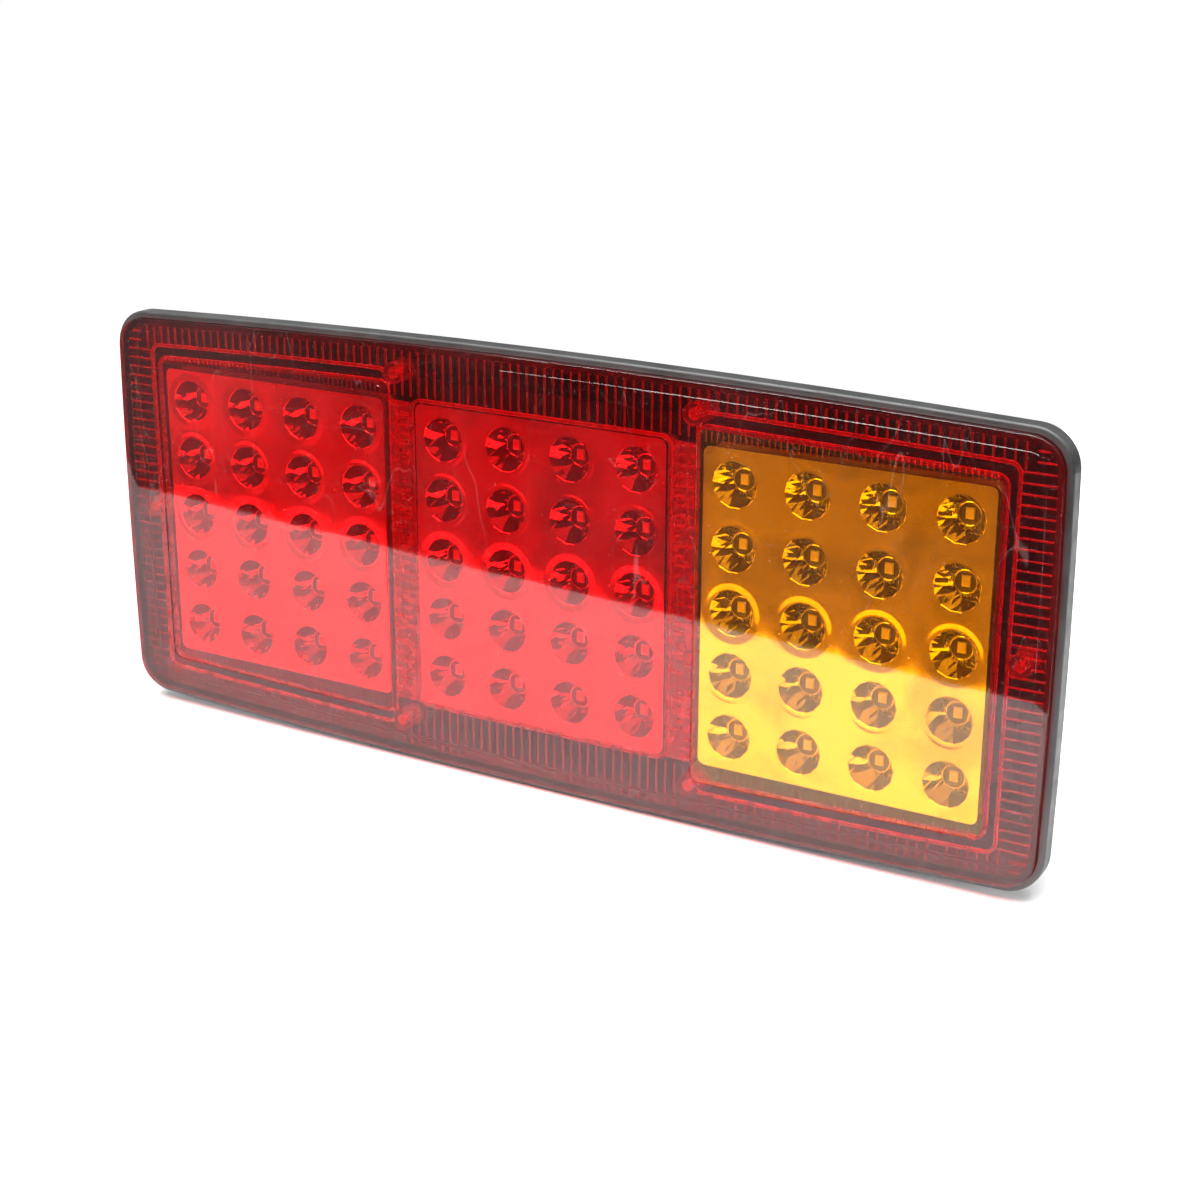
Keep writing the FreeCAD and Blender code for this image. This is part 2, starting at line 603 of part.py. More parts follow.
def housing_holes(body):
    """Every hole and recess that is cut from the back or from inside."""
    studs = [("stud_half_pitch", "0"), ("-stud_half_pitch", "0")]
    for name, start, places, radius, depth in (
        ("washer_recesses", "0", studs, "recess_radius", "recess_deep"),
        ("stud_holes", "0", studs, "stud_radius + slip_gap", "stud_boss_top"),
        ("grommet_sinks", "0", [("0", "0")], "grommet_flange + loose_gap", "grommet_sink"),
        ("inlet_hole", "0", [("0", "0")], "inlet_radius", "inlet_boss_top"),
        ("vent_hole", "0", [("vent_across", "-vent_down")], "vent_radius", "depth_floor + overcut"),
        ("head_sinks", "pillar_start", screw_places(), "screw_head + head_gap", "screw_seat - pillar_start"),
        ("screw_holes", "pillar_start", screw_places(), "screw_radius + loose_gap",
         "boss_end - pillar_start"),
    ):
        sketch = new_sketch(body, name, start)
        add_circles(sketch, places, radius)
        pocket(body, sketch, depth, forwards=True)
    for side in ("", "-"):
        hexagon = new_sketch(body, "head_pocket", "stud_boss_top")
        add_hexagon(hexagon, "hex_half + head_gap")
        bind(hexagon, ".AttachmentOffset.Base.x", side + "stud_half_pitch")
        pocket(body, hexagon, "stud_boss_top - stud_seat")


# ---------------------------------------------------------------- lens

def lens_red():
    """Red moulding: skirt, band, bevelled front, window openings, ribs and screw bosses."""
    body = new_body("lens_red")
    edge = "rim_wall + lens_gap"
    skirt = new_sketch(body, "skirt", "depth_skirt")
    add_bowed_outline(skirt, edge, "corner - (%s)" % edge)
    pad(body, skirt, "depth_rim - depth_skirt")
    for name, low, low_inset, high, high_inset in (
        ("draft", "depth_rim", edge, "depth_band", "band_inset"),
        ("bevel", "depth_band", "bevel_outer", "depth_lens", "bevel_inner"),
    ):
        bottom = new_sketch(body, name + "_low", low)
        add_bowed_outline(bottom, low_inset, "corner - (%s)" % low_inset)
        top = new_sketch(body, name + "_high", high)
        add_bowed_outline(top, high_inset, "corner - (%s)" % high_inset)
        loft(body, "AdditiveLoft", bottom, top)
    inside = new_sketch(body, "inside", "depth_inner")
    wall = edge + " + skirt_wall"
    add_bowed_outline(inside, wall, "corner - (%s)" % wall)
    pocket(body, inside, "depth_inner - depth_skirt")
    lens_ribs(body)
    boss = new_sketch(body, "boss", "boss_end")
    add_circles(boss, screw_places(), "boss_radius")
    pad(body, boss, "depth_inner - boss_end + rooting / 2")
    pilot = new_sketch(body, "pilot", "boss_end")
    add_circles(pilot, screw_places(), "screw_radius + thread_gap")
    pocket(body, pilot, "screw_seat + screw_length + pilot_spare - boss_end", forwards=True)


def lens_ribs(body):
    """Baffle ribs round each window opening and round the middle chamber, then the openings."""
    inner = new_sketch(body, "inner_rib", "depth_inner")
    add_window_outline(inner, "window_near", "window_far", "window_inset", "window_corner")
    add_window_outline(inner, "window_near - baffle_wall", "window_far + baffle_wall",
                       "window_inset - baffle_wall", "window_corner + baffle_wall")
    outer = new_sketch(body, "outer_rib", "depth_inner")
    for wall in ("0", "baffle_wall"):
        add_window_outline(outer, "window_near - %s" % wall, "window_far + frame_step + %s" % wall,
                           "window_inset - frame_rise - %s" % wall, "window_corner + %s" % wall)
    opening = new_sketch(body, "opening", "depth_lens")
    add_window_outline(opening, "window_near", "window_far", "window_inset", "window_corner")
    ribs = [
        pad(body, inner, "baffle_depth", backwards=True),
        pad(body, outer, "baffle_depth", backwards=True),
    ]
    mirrored(body, ribs, "YZ_Plane")
    cut = pocket(body, opening, "depth_lens - depth_inner + overcut")
    mirrored(body, [cut], "YZ_Plane")
    middle = new_sketch(body, "middle_rib", "depth_inner")
    add_rectangle(middle, "middle_frame_half", "middle_frame_high", "window_corner")
    add_rectangle(middle, "middle_frame_half + baffle_wall", "middle_frame_high + baffle_wall",
                  "window_corner + baffle_wall")
    pad(body, middle, "baffle_depth", backwards=True)


def lens_window(label, turned):
    """A window insert, glued flush into its opening."""
    body = new_body(label)
    sketch = new_sketch(body, "pane", "depth_inner")
    add_window_outline(sketch, "window_near + window_gap", "window_far - window_gap",
                       "window_inset + window_gap", "window_corner - window_gap")
    pad(body, sketch, "depth_lens - depth_inner")
    if turned:
        body.Placement = Placement(Vector(0, 0, 0), Rotation(Vector(0, 1, 0), 180))


def lens_seal():
    """Flat rubber ring on the housing's ledge, under the lens's skirt."""
    body = new_body("lens_seal")
    sketch = new_sketch(body, "ring", "depth_ledge")
    for inset in ("rim_wall + lens_gap", "ledge_inset - seal_margin"):
        add_bowed_outline(sketch, inset, "corner - (%s)" % inset)
    pad(body, sketch, "depth_skirt - depth_ledge")


# ---------------------------------------------------------------- chambers

def shift_to_chamber(body, side):
    bind(body, ".Placement.Base.x", "%d * chamber_pitch" % side)


def reflector(label, side):
    """Chromed plate with a grid of conical cups, and four legs that stand on the board."""
    body = new_body(label)
    plate = new_sketch(body, "plate", "depth_rim - plate_thick")
    add_rectangle(plate, "plate_half_wide", "plate_half_high", "plate_corner")
    pad(body, plate, "plate_thick")
    legs = new_sketch(body, "legs", "board_front")
    add_circles(legs, grid_from("leg_across", "leg_up"), "leg_radius")
    pad(body, legs, "depth_rim - plate_thick - board_front")
    pilots = new_sketch(body, "pilots", "board_front")
    add_circles(pilots, grid_from("leg_across", "leg_up"), "board_screw_radius + thread_gap")
    pocket(body, pilots, "board_screw_long - board_thick + board_pilot_spare", forwards=True)
    slope = "-atan((cup_radius - cup_throat) / cup_deep)"
    outside = new_sketch(body, "cup_outside", "depth_rim - plate_thick")
    add_circle(outside, *FIRST_LED, "cup_radius + cup_wall - plate_thick / 2")
    inside = new_sketch(body, "cup_inside", "depth_rim")
    add_circle(inside, *FIRST_LED, "cup_radius")
    cup = [
        pad(body, outside, "cup_deep - plate_thick", backwards=True, taper=slope),
        pocket(body, inside, "cup_deep", taper=slope),
    ]
    pattern(body, cup, ("X_Axis", "%d * led_pitch_across" % (COLUMNS - 1), COLUMNS),
            ("Z_Axis", "%d * led_pitch_up" % (ROWS - 1), ROWS))
    shift_to_chamber(body, side)


def circuit_board(label, side):
    body = new_body(label)
    outline = new_sketch(body, "outline", "board_front - board_thick")
    add_rectangle(outline, "board_half_wide", "board_half_high", "plate_corner")
    pad(body, outline, "board_thick")
    holes = new_sketch(body, "holes", "board_front")
    add_circles(holes, grid_from("leg_across", "leg_up"), "board_screw_radius + loose_gap")
    add_circles(holes, grid_from("post_across", "post_up"), "pin_radius + slip_gap")
    pocket(body, holes, "board_thick")
    shift_to_chamber(body, side)


def leds(label, side):
    """One surface-mounted LED under each cup: a package with a round well."""
    body = new_body(label)
    package = new_sketch(body, "package", "board_front")
    add_rectangle(package, "led_wide / 2", "led_high / 2", "led_corner", *FIRST_LED)
    well = new_sketch(body, "well", "board_front + led_thick")
    add_circle(well, *FIRST_LED, "led_well")
    led = [pad(body, package, "led_thick"), pocket(body, well, "led_thick / 3")]
    pattern(body, led, ("X_Axis", "%d * led_pitch_across" % (COLUMNS - 1), COLUMNS),
            ("Z_Axis", "%d * led_pitch_up" % (ROWS - 1), ROWS))
    shift_to_chamber(body, side)


def resistors(label, side):
    """A row of dropping resistors on the back of the board, one for each column of LEDs."""
    body = new_body(label)
    sketch = new_sketch(body, "chip", "board_front - board_thick")
    add_rectangle(sketch, "chip_half_long", "chip_half_wide", "small_corner", FIRST_LED[0],
                  "led_pitch_up / 2")
    chip = pad(body, sketch, "chip_thick", backwards=True)
    pattern(body, [chip], ("X_Axis", "%d * led_pitch_across" % (COLUMNS - 1), COLUMNS))
    shift_to_chamber(body, side)


def protection_diodes():
    """One diode on each board, against reversed supply."""
    body = new_body("protection_diodes")
    sketch = new_sketch(body, "package", "board_front - board_thick")
    add_rectangle(sketch, "diode_half_long", "diode_half_wide", "small_corner", "-chamber_pitch",
                  "led_pitch_up")
    package = pad(body, sketch, "diode_thick", backwards=True)
    pattern(body, [package], ("X_Axis", "2 * chamber_pitch", 3))


def board_screws():
    """Self-tapping screws that hold each board to its reflector's legs."""
    body = new_body("board_screws")
    places = [("%s - chamber_pitch" % across, up) for across, up in grid_from("leg_across", "leg_up")]
    head = new_sketch(body, "heads", "board_front - board_thick")
    add_circles(head, places, "board_head")
    shank = new_sketch(body, "shanks", "board_front - board_thick")
    add_circles(shank, places, "board_screw_radius")
    features = [
        pad(body, head, "board_head_high", backwards=True),
        pad(body, shank, "board_screw_long"),
    ]
    for wide, high in (("board_cross", "board_cross_wall"), ("board_cross_wall", "board_cross")):
        cross = new_sketch(body, "cross", "board_front - board_thick - board_head_high")
        for across, up in places:
            add_rectangle(cross, wide, high, "small_corner", across, up)
        features.append(pocket(body, cross, "board_cross_deep", forwards=True))
    pattern(body, features, ("X_Axis", "2 * chamber_pitch", 3))


# ---------------------------------------------------------------- wiring

def wire_places():
    """Where the four wire connectors stand: one on each side board, two on the middle one."""
    outer = "chamber_pitch - post_across"
    return ["-(%s)" % outer, "-post_across", "post_across", outer]


def wire_connectors():
    """Header and plug of each jumper, behind the boards."""
    body = new_body("wire_connectors")
    sketch = new_sketch(body, "shells", "board_front - board_thick")
    for across in wire_places():
        add_rectangle(sketch, "connector_half_wide", "connector_half_high", "connector_corner",
                      across, "-connector_up")
    pad(body, sketch, "connector_back", backwards=True)


def jumper_lead(label, first, last):
    """Two insulated wires, each a straight run between two quarter bends, from plug to plug."""
    start = size_of(first)
    end = size_of(last)
    bend = size_of("lead_bend")
    plug = -size_of("board_front - board_thick - connector_back")
    low = plug + size_of("lead_drop")
    straight = low - bend
    wires = []
    for offset in (-0.5, 0.5):
        z = -size_of("connector_up") + offset * size_of("lead_spacing")
        slack = bend * (1 - math.sqrt(0.5))
        corners = [Vector(start, plug, z), Vector(start, straight, z),
                   Vector(start + slack, low - slack, z), Vector(start + bend, low, z),
                   Vector(end - bend, low, z), Vector(end - slack, low - slack, z),
                   Vector(end, straight, z), Vector(end, plug, z)]
        path = Part.Wire([
            Part.LineSegment(corners[0], corners[1]).toShape(),
            Part.Arc(corners[1], corners[2], corners[3]).toShape(),
            Part.LineSegment(corners[3], corners[4]).toShape(),
            Part.Arc(corners[4], corners[5], corners[6]).toShape(),
            Part.LineSegment(corners[6], corners[7]).toShape(),
        ])
        circle = Part.makeCircle(size_of("lead_radius"), corners[0], Vector(0, 1, 0))
        wires.append(path.makePipeShell([Part.Wire([circle])], True, False))
    lead = doc.addObject("Part::Feature", label)
    lead.Label = label
    lead.Shape = Part.makeCompound(wires)
    finished.append(lead)


def terminal_block():
    """Four-way screw terminal on the middle board, where the vehicle's cable ends."""
    body = new_body("terminal_block")
    sketch = new_sketch(body, "block", "board_front - board_thick")
    add_rectangle(sketch, "terminal_half_wide", "terminal_half_high", "terminal_corner", "0",
                  "-led_pitch_up / 2")
    pad(body, sketch, "terminal_back", backwards=True)
    back = "board_front - board_thick - terminal_back"
    well = new_sketch(body, "wells", back)
    add_circle(well, FIRST_WIRE_WAY, "-led_pitch_up / 2 + terminal_shift", "terminal_well")
    notch = new_sketch(body, "wire_ways", "%s + wire_way_sink" % back)
    add_rectangle(notch, "wire_way_half_wide", "wire_way_half_high", "wire_way_corner",
                  FIRST_WIRE_WAY, "-led_pitch_up / 2 - terminal_half_high")
    ways = [
        pocket(body, well, "terminal_well_deep", forwards=True),
        pocket(body, notch, "terminal_well_deep", forwards=True),
    ]
    pattern(body, ways, ("X_Axis", "%d * terminal_pitch" % (WIRE_WAYS - 1), WIRE_WAYS))


def terminal_screws():
    body = new_body("terminal_screws")
    up = "-led_pitch_up / 2 + terminal_shift"
    face = "board_front - board_thick - terminal_back + terminal_head_sink"
    head = new_sketch(body, "head", face)
    add_circle(head, FIRST_WIRE_WAY, up, "terminal_head")
    slot = new_sketch(body, "slot", face)
    add_rectangle(slot, "terminal_slot", "terminal_slot_wall", "small_corner", FIRST_WIRE_WAY, up)
    screw = [
        pad(body, head, "terminal_head_high"),
        pocket(body, slot, "terminal_slot_deep", forwards=True),
    ]
    pattern(body, screw, ("X_Axis", "%d * terminal_pitch" % (WIRE_WAYS - 1), WIRE_WAYS))


# ---------------------------------------------------------------- fasteners and fittings

def ring(label, depth, thick, outer, inner, places):
    """Flat rings, all alike, one at each place."""
    body = new_body(label)
    sketch = new_sketch(body, "rings", depth)
    add_circles(sketch, places, outer, inner)
    pad(body, sketch, thick)


def lens_screws():
    """Pan-head screws driven from the back into the lens's bosses."""
    body = new_body("lens_screws")
    under = "screw_seat - screw_seal"
    head = new_sketch(body, "heads", under)
    add_circles(head, screw_places(), "screw_head")
    pad(body, head, "screw_head_high", backwards=True)
    shank = new_sketch(body, "shanks", under)
    add_circles(shank, screw_places(), "screw_radius")
    pad(body, shank, "screw_length + screw_seal - screw_tip")
    tip = new_sketch(body, "tips", "screw_seat + screw_length - screw_tip")
    add_circles(tip, screw_places(), "screw_radius")
    pad(body, tip, "screw_tip", taper="-tip_slope")
    for wide, high in (("screw_cross", "screw_cross_wall"), ("screw_cross_wall", "screw_cross")):
        cross = new_sketch(body, "cross", "%s - screw_head_high" % under)
        for across, up in screw_places():
            add_rectangle(cross, wide, high, "small_corner", across, up)
        pocket(body, cross, "screw_cross_deep", forwards=True)


def mounting_stud(label, side):
    """M8 stud: hexagon head captive in the housing's boss, plain shank, thread outside."""
    body = new_body(label)
    under = "stud_seat + stud_seal"
    head = new_sketch(body, "head", under)
    add_hexagon(head, "hex_half")
    pad(body, head, "stud_head_high")
    shank = new_sketch(body, "shank", under)
    add_circle(shank, "0", "0", "stud_shank")
    pad(body, shank, "%s - thread_start" % under, backwards=True)
    thread = new_sketch(body, "thread", "thread_start")
    add_circle(thread, "0", "0", "stud_radius")
    pad(body, thread, "thread_start + stud_reach - stud_tip", backwards=True)
    tip = new_sketch(body, "tip", "stud_tip - stud_reach")
    add_circle(tip, "0", "0", "stud_radius")
    pad(body, tip, "stud_tip", backwards=True, taper="-tip_slope")
    bind(body, ".Placement.Base.x", "%d * stud_half_pitch" % side)


def push_nuts():
    """Dished spring-steel nuts pressed on the studs' shanks, let into the pad so that it stays flat."""
    body = new_body("push_nuts")
    disc = new_sketch(body, "disc", "recess_deep - washer_thick - nut_thick")
    add_circle(disc, "-stud_half_pitch", "0", "hex_half")
    hole = new_sketch(body, "hole", "recess_deep - washer_thick")
    add_circle(hole, "-stud_half_pitch", "0", "stud_shank + grip_gap")
    slits = new_sketch(body, "slits", "recess_deep - washer_thick")
    for side in (-1, 1):
        out = "%d * stud_shank" % side
        add_rectangle(slits, "slit_long / 2", "slit_wide / 2", "small_corner",
                      "-stud_half_pitch + " + out, "0")
        add_rectangle(slits, "slit_wide / 2", "slit_long / 2", "small_corner",
                      "-stud_half_pitch", out)
    nut = [
        pad(body, disc, "nut_thick"),
        pocket(body, hole, "recess_deep"),
        pocket(body, slits, "recess_deep"),
    ]
    pattern(body, nut, ("X_Axis", "2 * stud_half_pitch", 2))


def stepped(label, steps, across="0", up="0", bore=None):
    """A turned piece: (depth, length, radius) slabs on one axis, with a bore through them all."""
    body = new_body(label)
    for depth, length, radius in steps:
        sketch = new_sketch(body, "step", depth)
        add_circle(sketch, across, up, radius)
        pad(body, sketch, length)
    if bore:
        sketch = new_sketch(body, "bore", steps[0][0])
        add_circle(sketch, across, up, bore)
        pocket(body, sketch, "%s + %s" % steps[-1][:2], forwards=True)


def cable_grommet():
    steps = (
        ("flange_start", "grommet_sink - flange_start", "grommet_flange"),
        ("grommet_sink", "inlet_boss_top - grommet_sink", "inlet_radius - thread_gap"),
        ("inlet_boss_top", "grommet_lip", "inlet_radius + grommet_lip"),
        ("inlet_boss_top + grommet_lip", "sleeve_long", "inlet_radius - sleeve_step"),
    )
    stepped("cable_grommet", steps, bore="cable_radius")


def breather_vent():
    steps = (
        ("depth_back - vent_cap_high", "vent_cap_high", "vent_cap"),
        ("depth_back", "depth_floor - depth_back", "vent_radius - slip_gap"),
        ("depth_floor", "vent_barb_high", "vent_radius + vent_barb"),
    )
    stepped("breather_vent", steps, "vent_across", "-vent_down")


# ---------------------------------------------------------------- assembly

def build():
    rear_housing()
    lens_red()
    lens_window("lens_window_amber", False)
    lens_window("lens_window_red", True)
    lens_seal()
    for chamber, side in CHAMBERS.items():
        reflector("reflector_" + chamber, side)
        circuit_board("circuit_board_" + chamber, side)
        leds("leds_" + chamber, side)
        resistors("resistors_" + chamber, side)
    protection_diodes()
    board_screws()
    wire_connectors()
    places = wire_places()
    jumper_lead("jumper_lead_left", places[0], places[1])
    jumper_lead("jumper_lead_right", places[2], places[3])
    terminal_block()
    terminal_screws()
    lens_screws()
    ring("screw_seals", "screw_seat - screw_seal", "screw_seal", "screw_head",
         "screw_radius + slip_gap", screw_places())
    mounting_stud("mounting_stud_left", -1)
    mounting_stud("mounting_stud_right", 1)
    studs = [("stud_half_pitch", "0"), ("-stud_half_pitch", "0")]
    ring("stud_washers", "recess_deep - washer_thick", "washer_thick", "washer_radius",
         "stud_radius + loose_gap", studs)
    ring("stud_seals", "stud_seat", "stud_seal", "hex_half - head_gap", "stud_radius + thread_gap",
         studs)
    push_nuts()
    cable_grommet()
    breather_vent()


def check():
    """Stops with a plain message if any object failed or any piece isn't a valid solid."""
    for item in doc.Objects:
        if "Invalid" in item.State or "Error" in item.State:
            raise RuntimeError("%s (%s) failed: %s" % (item.Name, item.Label, item.getStatusString()))
    for piece in finished:
        if piece.Shape.isNull() or not piece.Shape.isValid() or not piece.Shape.Solids:
            raise RuntimeError("%s has no valid solid" % piece.Label)


def export():
    os.makedirs("parts", exist_ok=True)
    for piece in finished:
        piece.Shape.exportStep("parts/%s.step" % piece.Label)
        box = piece.Shape.BoundBox
        print("%-22s %3d solids  %9.1f mm3  Y %6.1f to %6.1f"
              % (piece.Label, len(piece.Shape.Solids), piece.Shape.Volume, box.YMin, box.YMax))


build()
doc.recompute()
check()
export()
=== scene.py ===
"""Looks for the LED trailer tail light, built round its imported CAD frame.

Inside this script lengths are millimetres and a point is (across, up, depth), where depth counts
from the lamp's flat back face towards the lens. put() turns them into the frame's metres.
"""

import math

import bmesh
import bpy
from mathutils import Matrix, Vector


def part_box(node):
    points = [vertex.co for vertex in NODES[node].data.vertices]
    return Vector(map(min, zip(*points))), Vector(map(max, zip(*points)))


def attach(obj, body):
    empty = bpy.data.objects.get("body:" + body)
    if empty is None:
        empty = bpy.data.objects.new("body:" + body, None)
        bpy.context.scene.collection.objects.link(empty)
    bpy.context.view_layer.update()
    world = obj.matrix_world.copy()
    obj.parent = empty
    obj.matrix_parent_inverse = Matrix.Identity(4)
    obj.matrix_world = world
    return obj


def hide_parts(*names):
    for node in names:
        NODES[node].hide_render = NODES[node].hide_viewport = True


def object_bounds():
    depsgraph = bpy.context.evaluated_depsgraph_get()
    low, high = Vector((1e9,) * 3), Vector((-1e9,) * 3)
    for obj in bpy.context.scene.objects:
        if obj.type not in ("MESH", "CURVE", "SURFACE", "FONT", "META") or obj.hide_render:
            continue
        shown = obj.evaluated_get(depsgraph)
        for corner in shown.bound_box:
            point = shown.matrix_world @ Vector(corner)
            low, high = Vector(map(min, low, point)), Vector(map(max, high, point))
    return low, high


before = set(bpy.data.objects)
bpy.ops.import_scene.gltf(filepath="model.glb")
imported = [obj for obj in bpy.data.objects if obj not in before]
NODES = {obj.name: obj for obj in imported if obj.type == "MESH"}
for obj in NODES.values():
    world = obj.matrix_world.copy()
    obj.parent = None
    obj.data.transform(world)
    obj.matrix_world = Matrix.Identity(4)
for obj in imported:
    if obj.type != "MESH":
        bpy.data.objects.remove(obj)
cad_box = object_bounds()

MM = 0.001


def box_mm(node):
    """A CAD node's box as (left, right, bottom, top, back depth, front depth)."""
    low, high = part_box(node)
    return low.x / MM, high.x / MM, low.z / MM, high.z / MM, -high.y / MM, -low.y / MM


# ---------------------------------------------------------------- sizes, in mm

HALF_WIDE = 177.4        # the lamp's outline, with its shallow bows and round corners
HALF_HIGH = 75.2
LONG_BOW = 4240.0
SHORT_BOW = 2340.0
CORNER = 13.0

LENS_FRONT = box_mm("lens_red")[5]
LENS_INSET = HALF_HIGH - box_mm("lens_red")[3]      # from the lamp's outline to the lens
LENS_WALL = LENS_FRONT - box_mm("lens_window_amber")[4]
LENS_INNER = LENS_FRONT - LENS_WALL
SKIRT_BACK = box_mm("lens_seal")[5]
SKIRT_WALL = 2.4
BAND_DROP = 0.16         # the band round the lens lies this far behind its front
EDGE_ROUND = 0.22        # round outer edge of the band
STEP_OUTER = 7.0         # insets of the small step between band and front
STEP_INNER = 7.16
STEP_SOFT = 0.05         # softens the top of that step

WINDOW_NEAR = 58.8       # the openings for the side inserts
WINDOW_FAR = 157.2
WINDOW_INSET = 16.4
WINDOW_CORNER = 3.0
GLUE_GAP = 0.1
PANE_SOFT = 0.3          # softened edge of an insert's front
RIB_WALL = 1.0           # ribs on the inner face
RIB_DEEP = 1.2
FRAME_STEP = 3.4         # outer rib of a side window, past the inner one
FRAME_RISE = 4.2
MIDDLE_WIDE = 48.3       # rib round the middle chamber
MIDDLE_HIGH = 53.4

FLUTE_PITCH = 3.25       # flutes moulded into the inner face, round the windows
FLUTE_WIDE = 0.8
FLUTE_DEEP = 0.6
FLUTE_INSET = 4.6        # the fluted border starts this far in from the outline
FLUTE_ACROSS = 165.0     # upright flutes reach this far out
FLUTE_UP = 65.0          # level flutes in the ends reach this far up
FLUTE_CLEAR = 1.4        # upright flutes start this far past the middle chamber
LEVEL_TO = 59.0          # beside a window's corner, level flutes reach this far up
UPRIGHT_FROM = 59.2      # and upright ones start here
CORNER_FROM = 165.8      # the level flutes of a corner start this far out
FLUTE_TRIM = 1.0         # how far flutes are cut back where the strips start
FLUTE_SINK = 0.2         # how deep the flutes reach into the lens's wall
WEB_DEEP = 0.3           # glowing webs in the strips between the windows; their glow is painted light
WEB_SHORT = 0.4          # the webs end this far short of the middle chamber's rib
BAR_MARGIN = 1.0         # bare ends of a web beyond its bars
STRIP_BARS = (((50.5, 54.2), 1.8, 1.1), ((55.3, 57.3), 1.1, 0.8))   # reach, width and depth of their bars
BAR_PROFILE = ((-0.5, 0.0), (-0.38, 0.55), (-0.18, 0.92), (0.0, 1.0),
               (0.18, 0.92), (0.38, 0.55), (0.5, 0.0))   # round top, as shares of width and depth
FINE_PITCH = 1.95        # fine flutes along the inserts' top and bottom
FINE_WIDE = 0.5
FINE_DEEP = 0.34
FINE_LOW = 54.1
FINE_HIGH = 57.3
FINE_MARGIN = 2.0        # bare ends of the insert beside them

SCREWS = [(side * 164.7, 0.0) for side in (-1, 1)]
SCREWS += [(side * 56.5, rise * 61.8) for side in (-1, 1) for rise in (-1, 1)]
BOSS_RADIUS = 3.6
BOSS_BACK = box_mm("lens_red")[4]
PILOT_RADIUS = 2.0
PILOT_SHORT = 1.0        # the pilot hole ends this far behind the lens's wall

CHAMBERS = {"left": -107.7, "middle": 0.0, "right": 107.7}
CUP_ACROSS = 24.4        # pitch of the reflector cups
CUP_UP = 20.8
CUP_COLUMNS = 4
CUP_ROWS = 5
PLATE_FRONT = box_mm("reflector_left")[5]
PLATE_THICK = 1.2
PLATE_CORNER = 2.4
CUP_BACK = box_mm("reflector_left")[4]
CUP_WALL = 0.9
MOUTH = 7.5
THROAT = 3.8
THROAT_BORE = 3.4
THROAT_LIP = 0.7         # depth of the round bore below the facets
THROAT_BEAD = 0.14       # height of the round bead between them
THROAT_NEST = 0.97       # keeps the bead's outer edge just inside the facets
BEAD_PARTS = (0, 0.25, 0.5, 0.75, 1)
CUP_SIDES = 14
SIDE_PARTS = 4           # mesh edges along each side of a mouth
CUP_TIERS = 2
DISH = 10.2              # the plate sinks a little round each mouth
DISH_DEEP = 0.16
DISH_PARTS = (0, 0.2, 0.4, 0.6, 0.8)
LIP = 0.14               # width of the softened edge of a mouth
LEG_RADIUS = 1.9
LEG_PLACES = [(across * 43.8, up * 49.2) for across in (-1, 1) for up in (-1, 1)]

LED_WIDE = 2.8
LED_HIGH = 3.5
LED_FOOT = 0.3           # height of the straight part of its sides
LED_TAPER = 0.12         # how far the sides lean in above that
LED_SOFT = (0.08, 0.06)  # inset and drop of the softened edge of its top
LED_WELL = 1.28
WELL_LIP = (0.08, 0.12)  # inset and depth of the resin's edge
RESIN_DOME = ((0.7, 0.065), (0.35, 0.04))    # share of the well's radius, and drop below the top
RESIN_TOP = 0.03         # drop of the resin's middle
LED_STEPS = 32

CURVE_STEPS = 12         # segments in a round corner
ROUND_STEPS = 32         # segments in a boss
HOLE_STEPS = 24          # segments in a pilot hole or a leg
OVERLAP = 0.3            # how far solids reach into each other before they are joined
CLEARLY = 1.0            # how far a cutting solid stands out of what it cuts
LOOKS_BACK = 0.9         # a face turned back at least this squarely is on the lens's inner side
SLIVER = 0.002           # vertices closer than this are one
WELD = 0.01              # the same where two cells of a plate meet
LENS_SHARP = 14.0        # degrees: an edge that turns more than this is a real one
CUP_SHARP = 8.0
LED_SHARP = 30.0
TINY = 1e-9              # below this a number counts as zero
ON_EDGE = 1e-6           # how close to the plate's edge a point on it lies


# ---------------------------------------------------------------- outlines

def arc(centre, radius, start, end, steps):
    """Points along an arc, both ends included. Angles are radians."""
    turns = [start + (end - start) * i / steps for i in range(steps + 1)]
    return [(centre[0] + radius * math.cos(t), centre[1] + radius * math.sin(t)) for t in turns]


def angle_from(centre, point):
    return math.atan2(point[1] - centre[1], point[0] - centre[0])


TOP_CENTRE = (0.0, HALF_HIGH - LONG_BOW)
END_CENTRE = (HALF_WIDE - SHORT_BOW, 0.0)


def corner_centre():
    """Centre of the lamp's round corner, which touches the long bow and the short one."""
    first, second = Vector(TOP_CENTRE), Vector(END_CENTRE)
    reach, other = LONG_BOW - CORNER, SHORT_BOW - CORNER
    gap = (second - first).length
    along = (reach ** 2 - other ** 2 + gap ** 2) / (2 * gap)
    off = math.sqrt(reach ** 2 - along ** 2)
    way = (second - first) / gap
    return first + way * along + Vector((-way.y, way.x)) * -off


def four_quarters(quarter):
    """A closed outline from its quarter that runs from the +across axis to the +up axis."""
    left = [(-x, z) for x, z in reversed(quarter)]
    top = quarter + left[1:]
    return top + [(x, -z) for x, z in reversed(top)][1:-1]


def lamp_outline(inset):
    """The lamp's outline, drawn in by inset."""
    centre = corner_centre()
    end_turn = angle_from(END_CENTRE, centre)
    top_turn = angle_from(TOP_CENTRE, centre)
    points = arc(END_CENTRE, SHORT_BOW - inset, 0, end_turn, CURVE_STEPS)
    points += arc(centre, CORNER - inset, end_turn, top_turn, CURVE_STEPS)[1:]
    points += arc(TOP_CENTRE, LONG_BOW - inset, top_turn, math.pi / 2, 2 * CURVE_STEPS)[1:]
    return four_quarters(points)


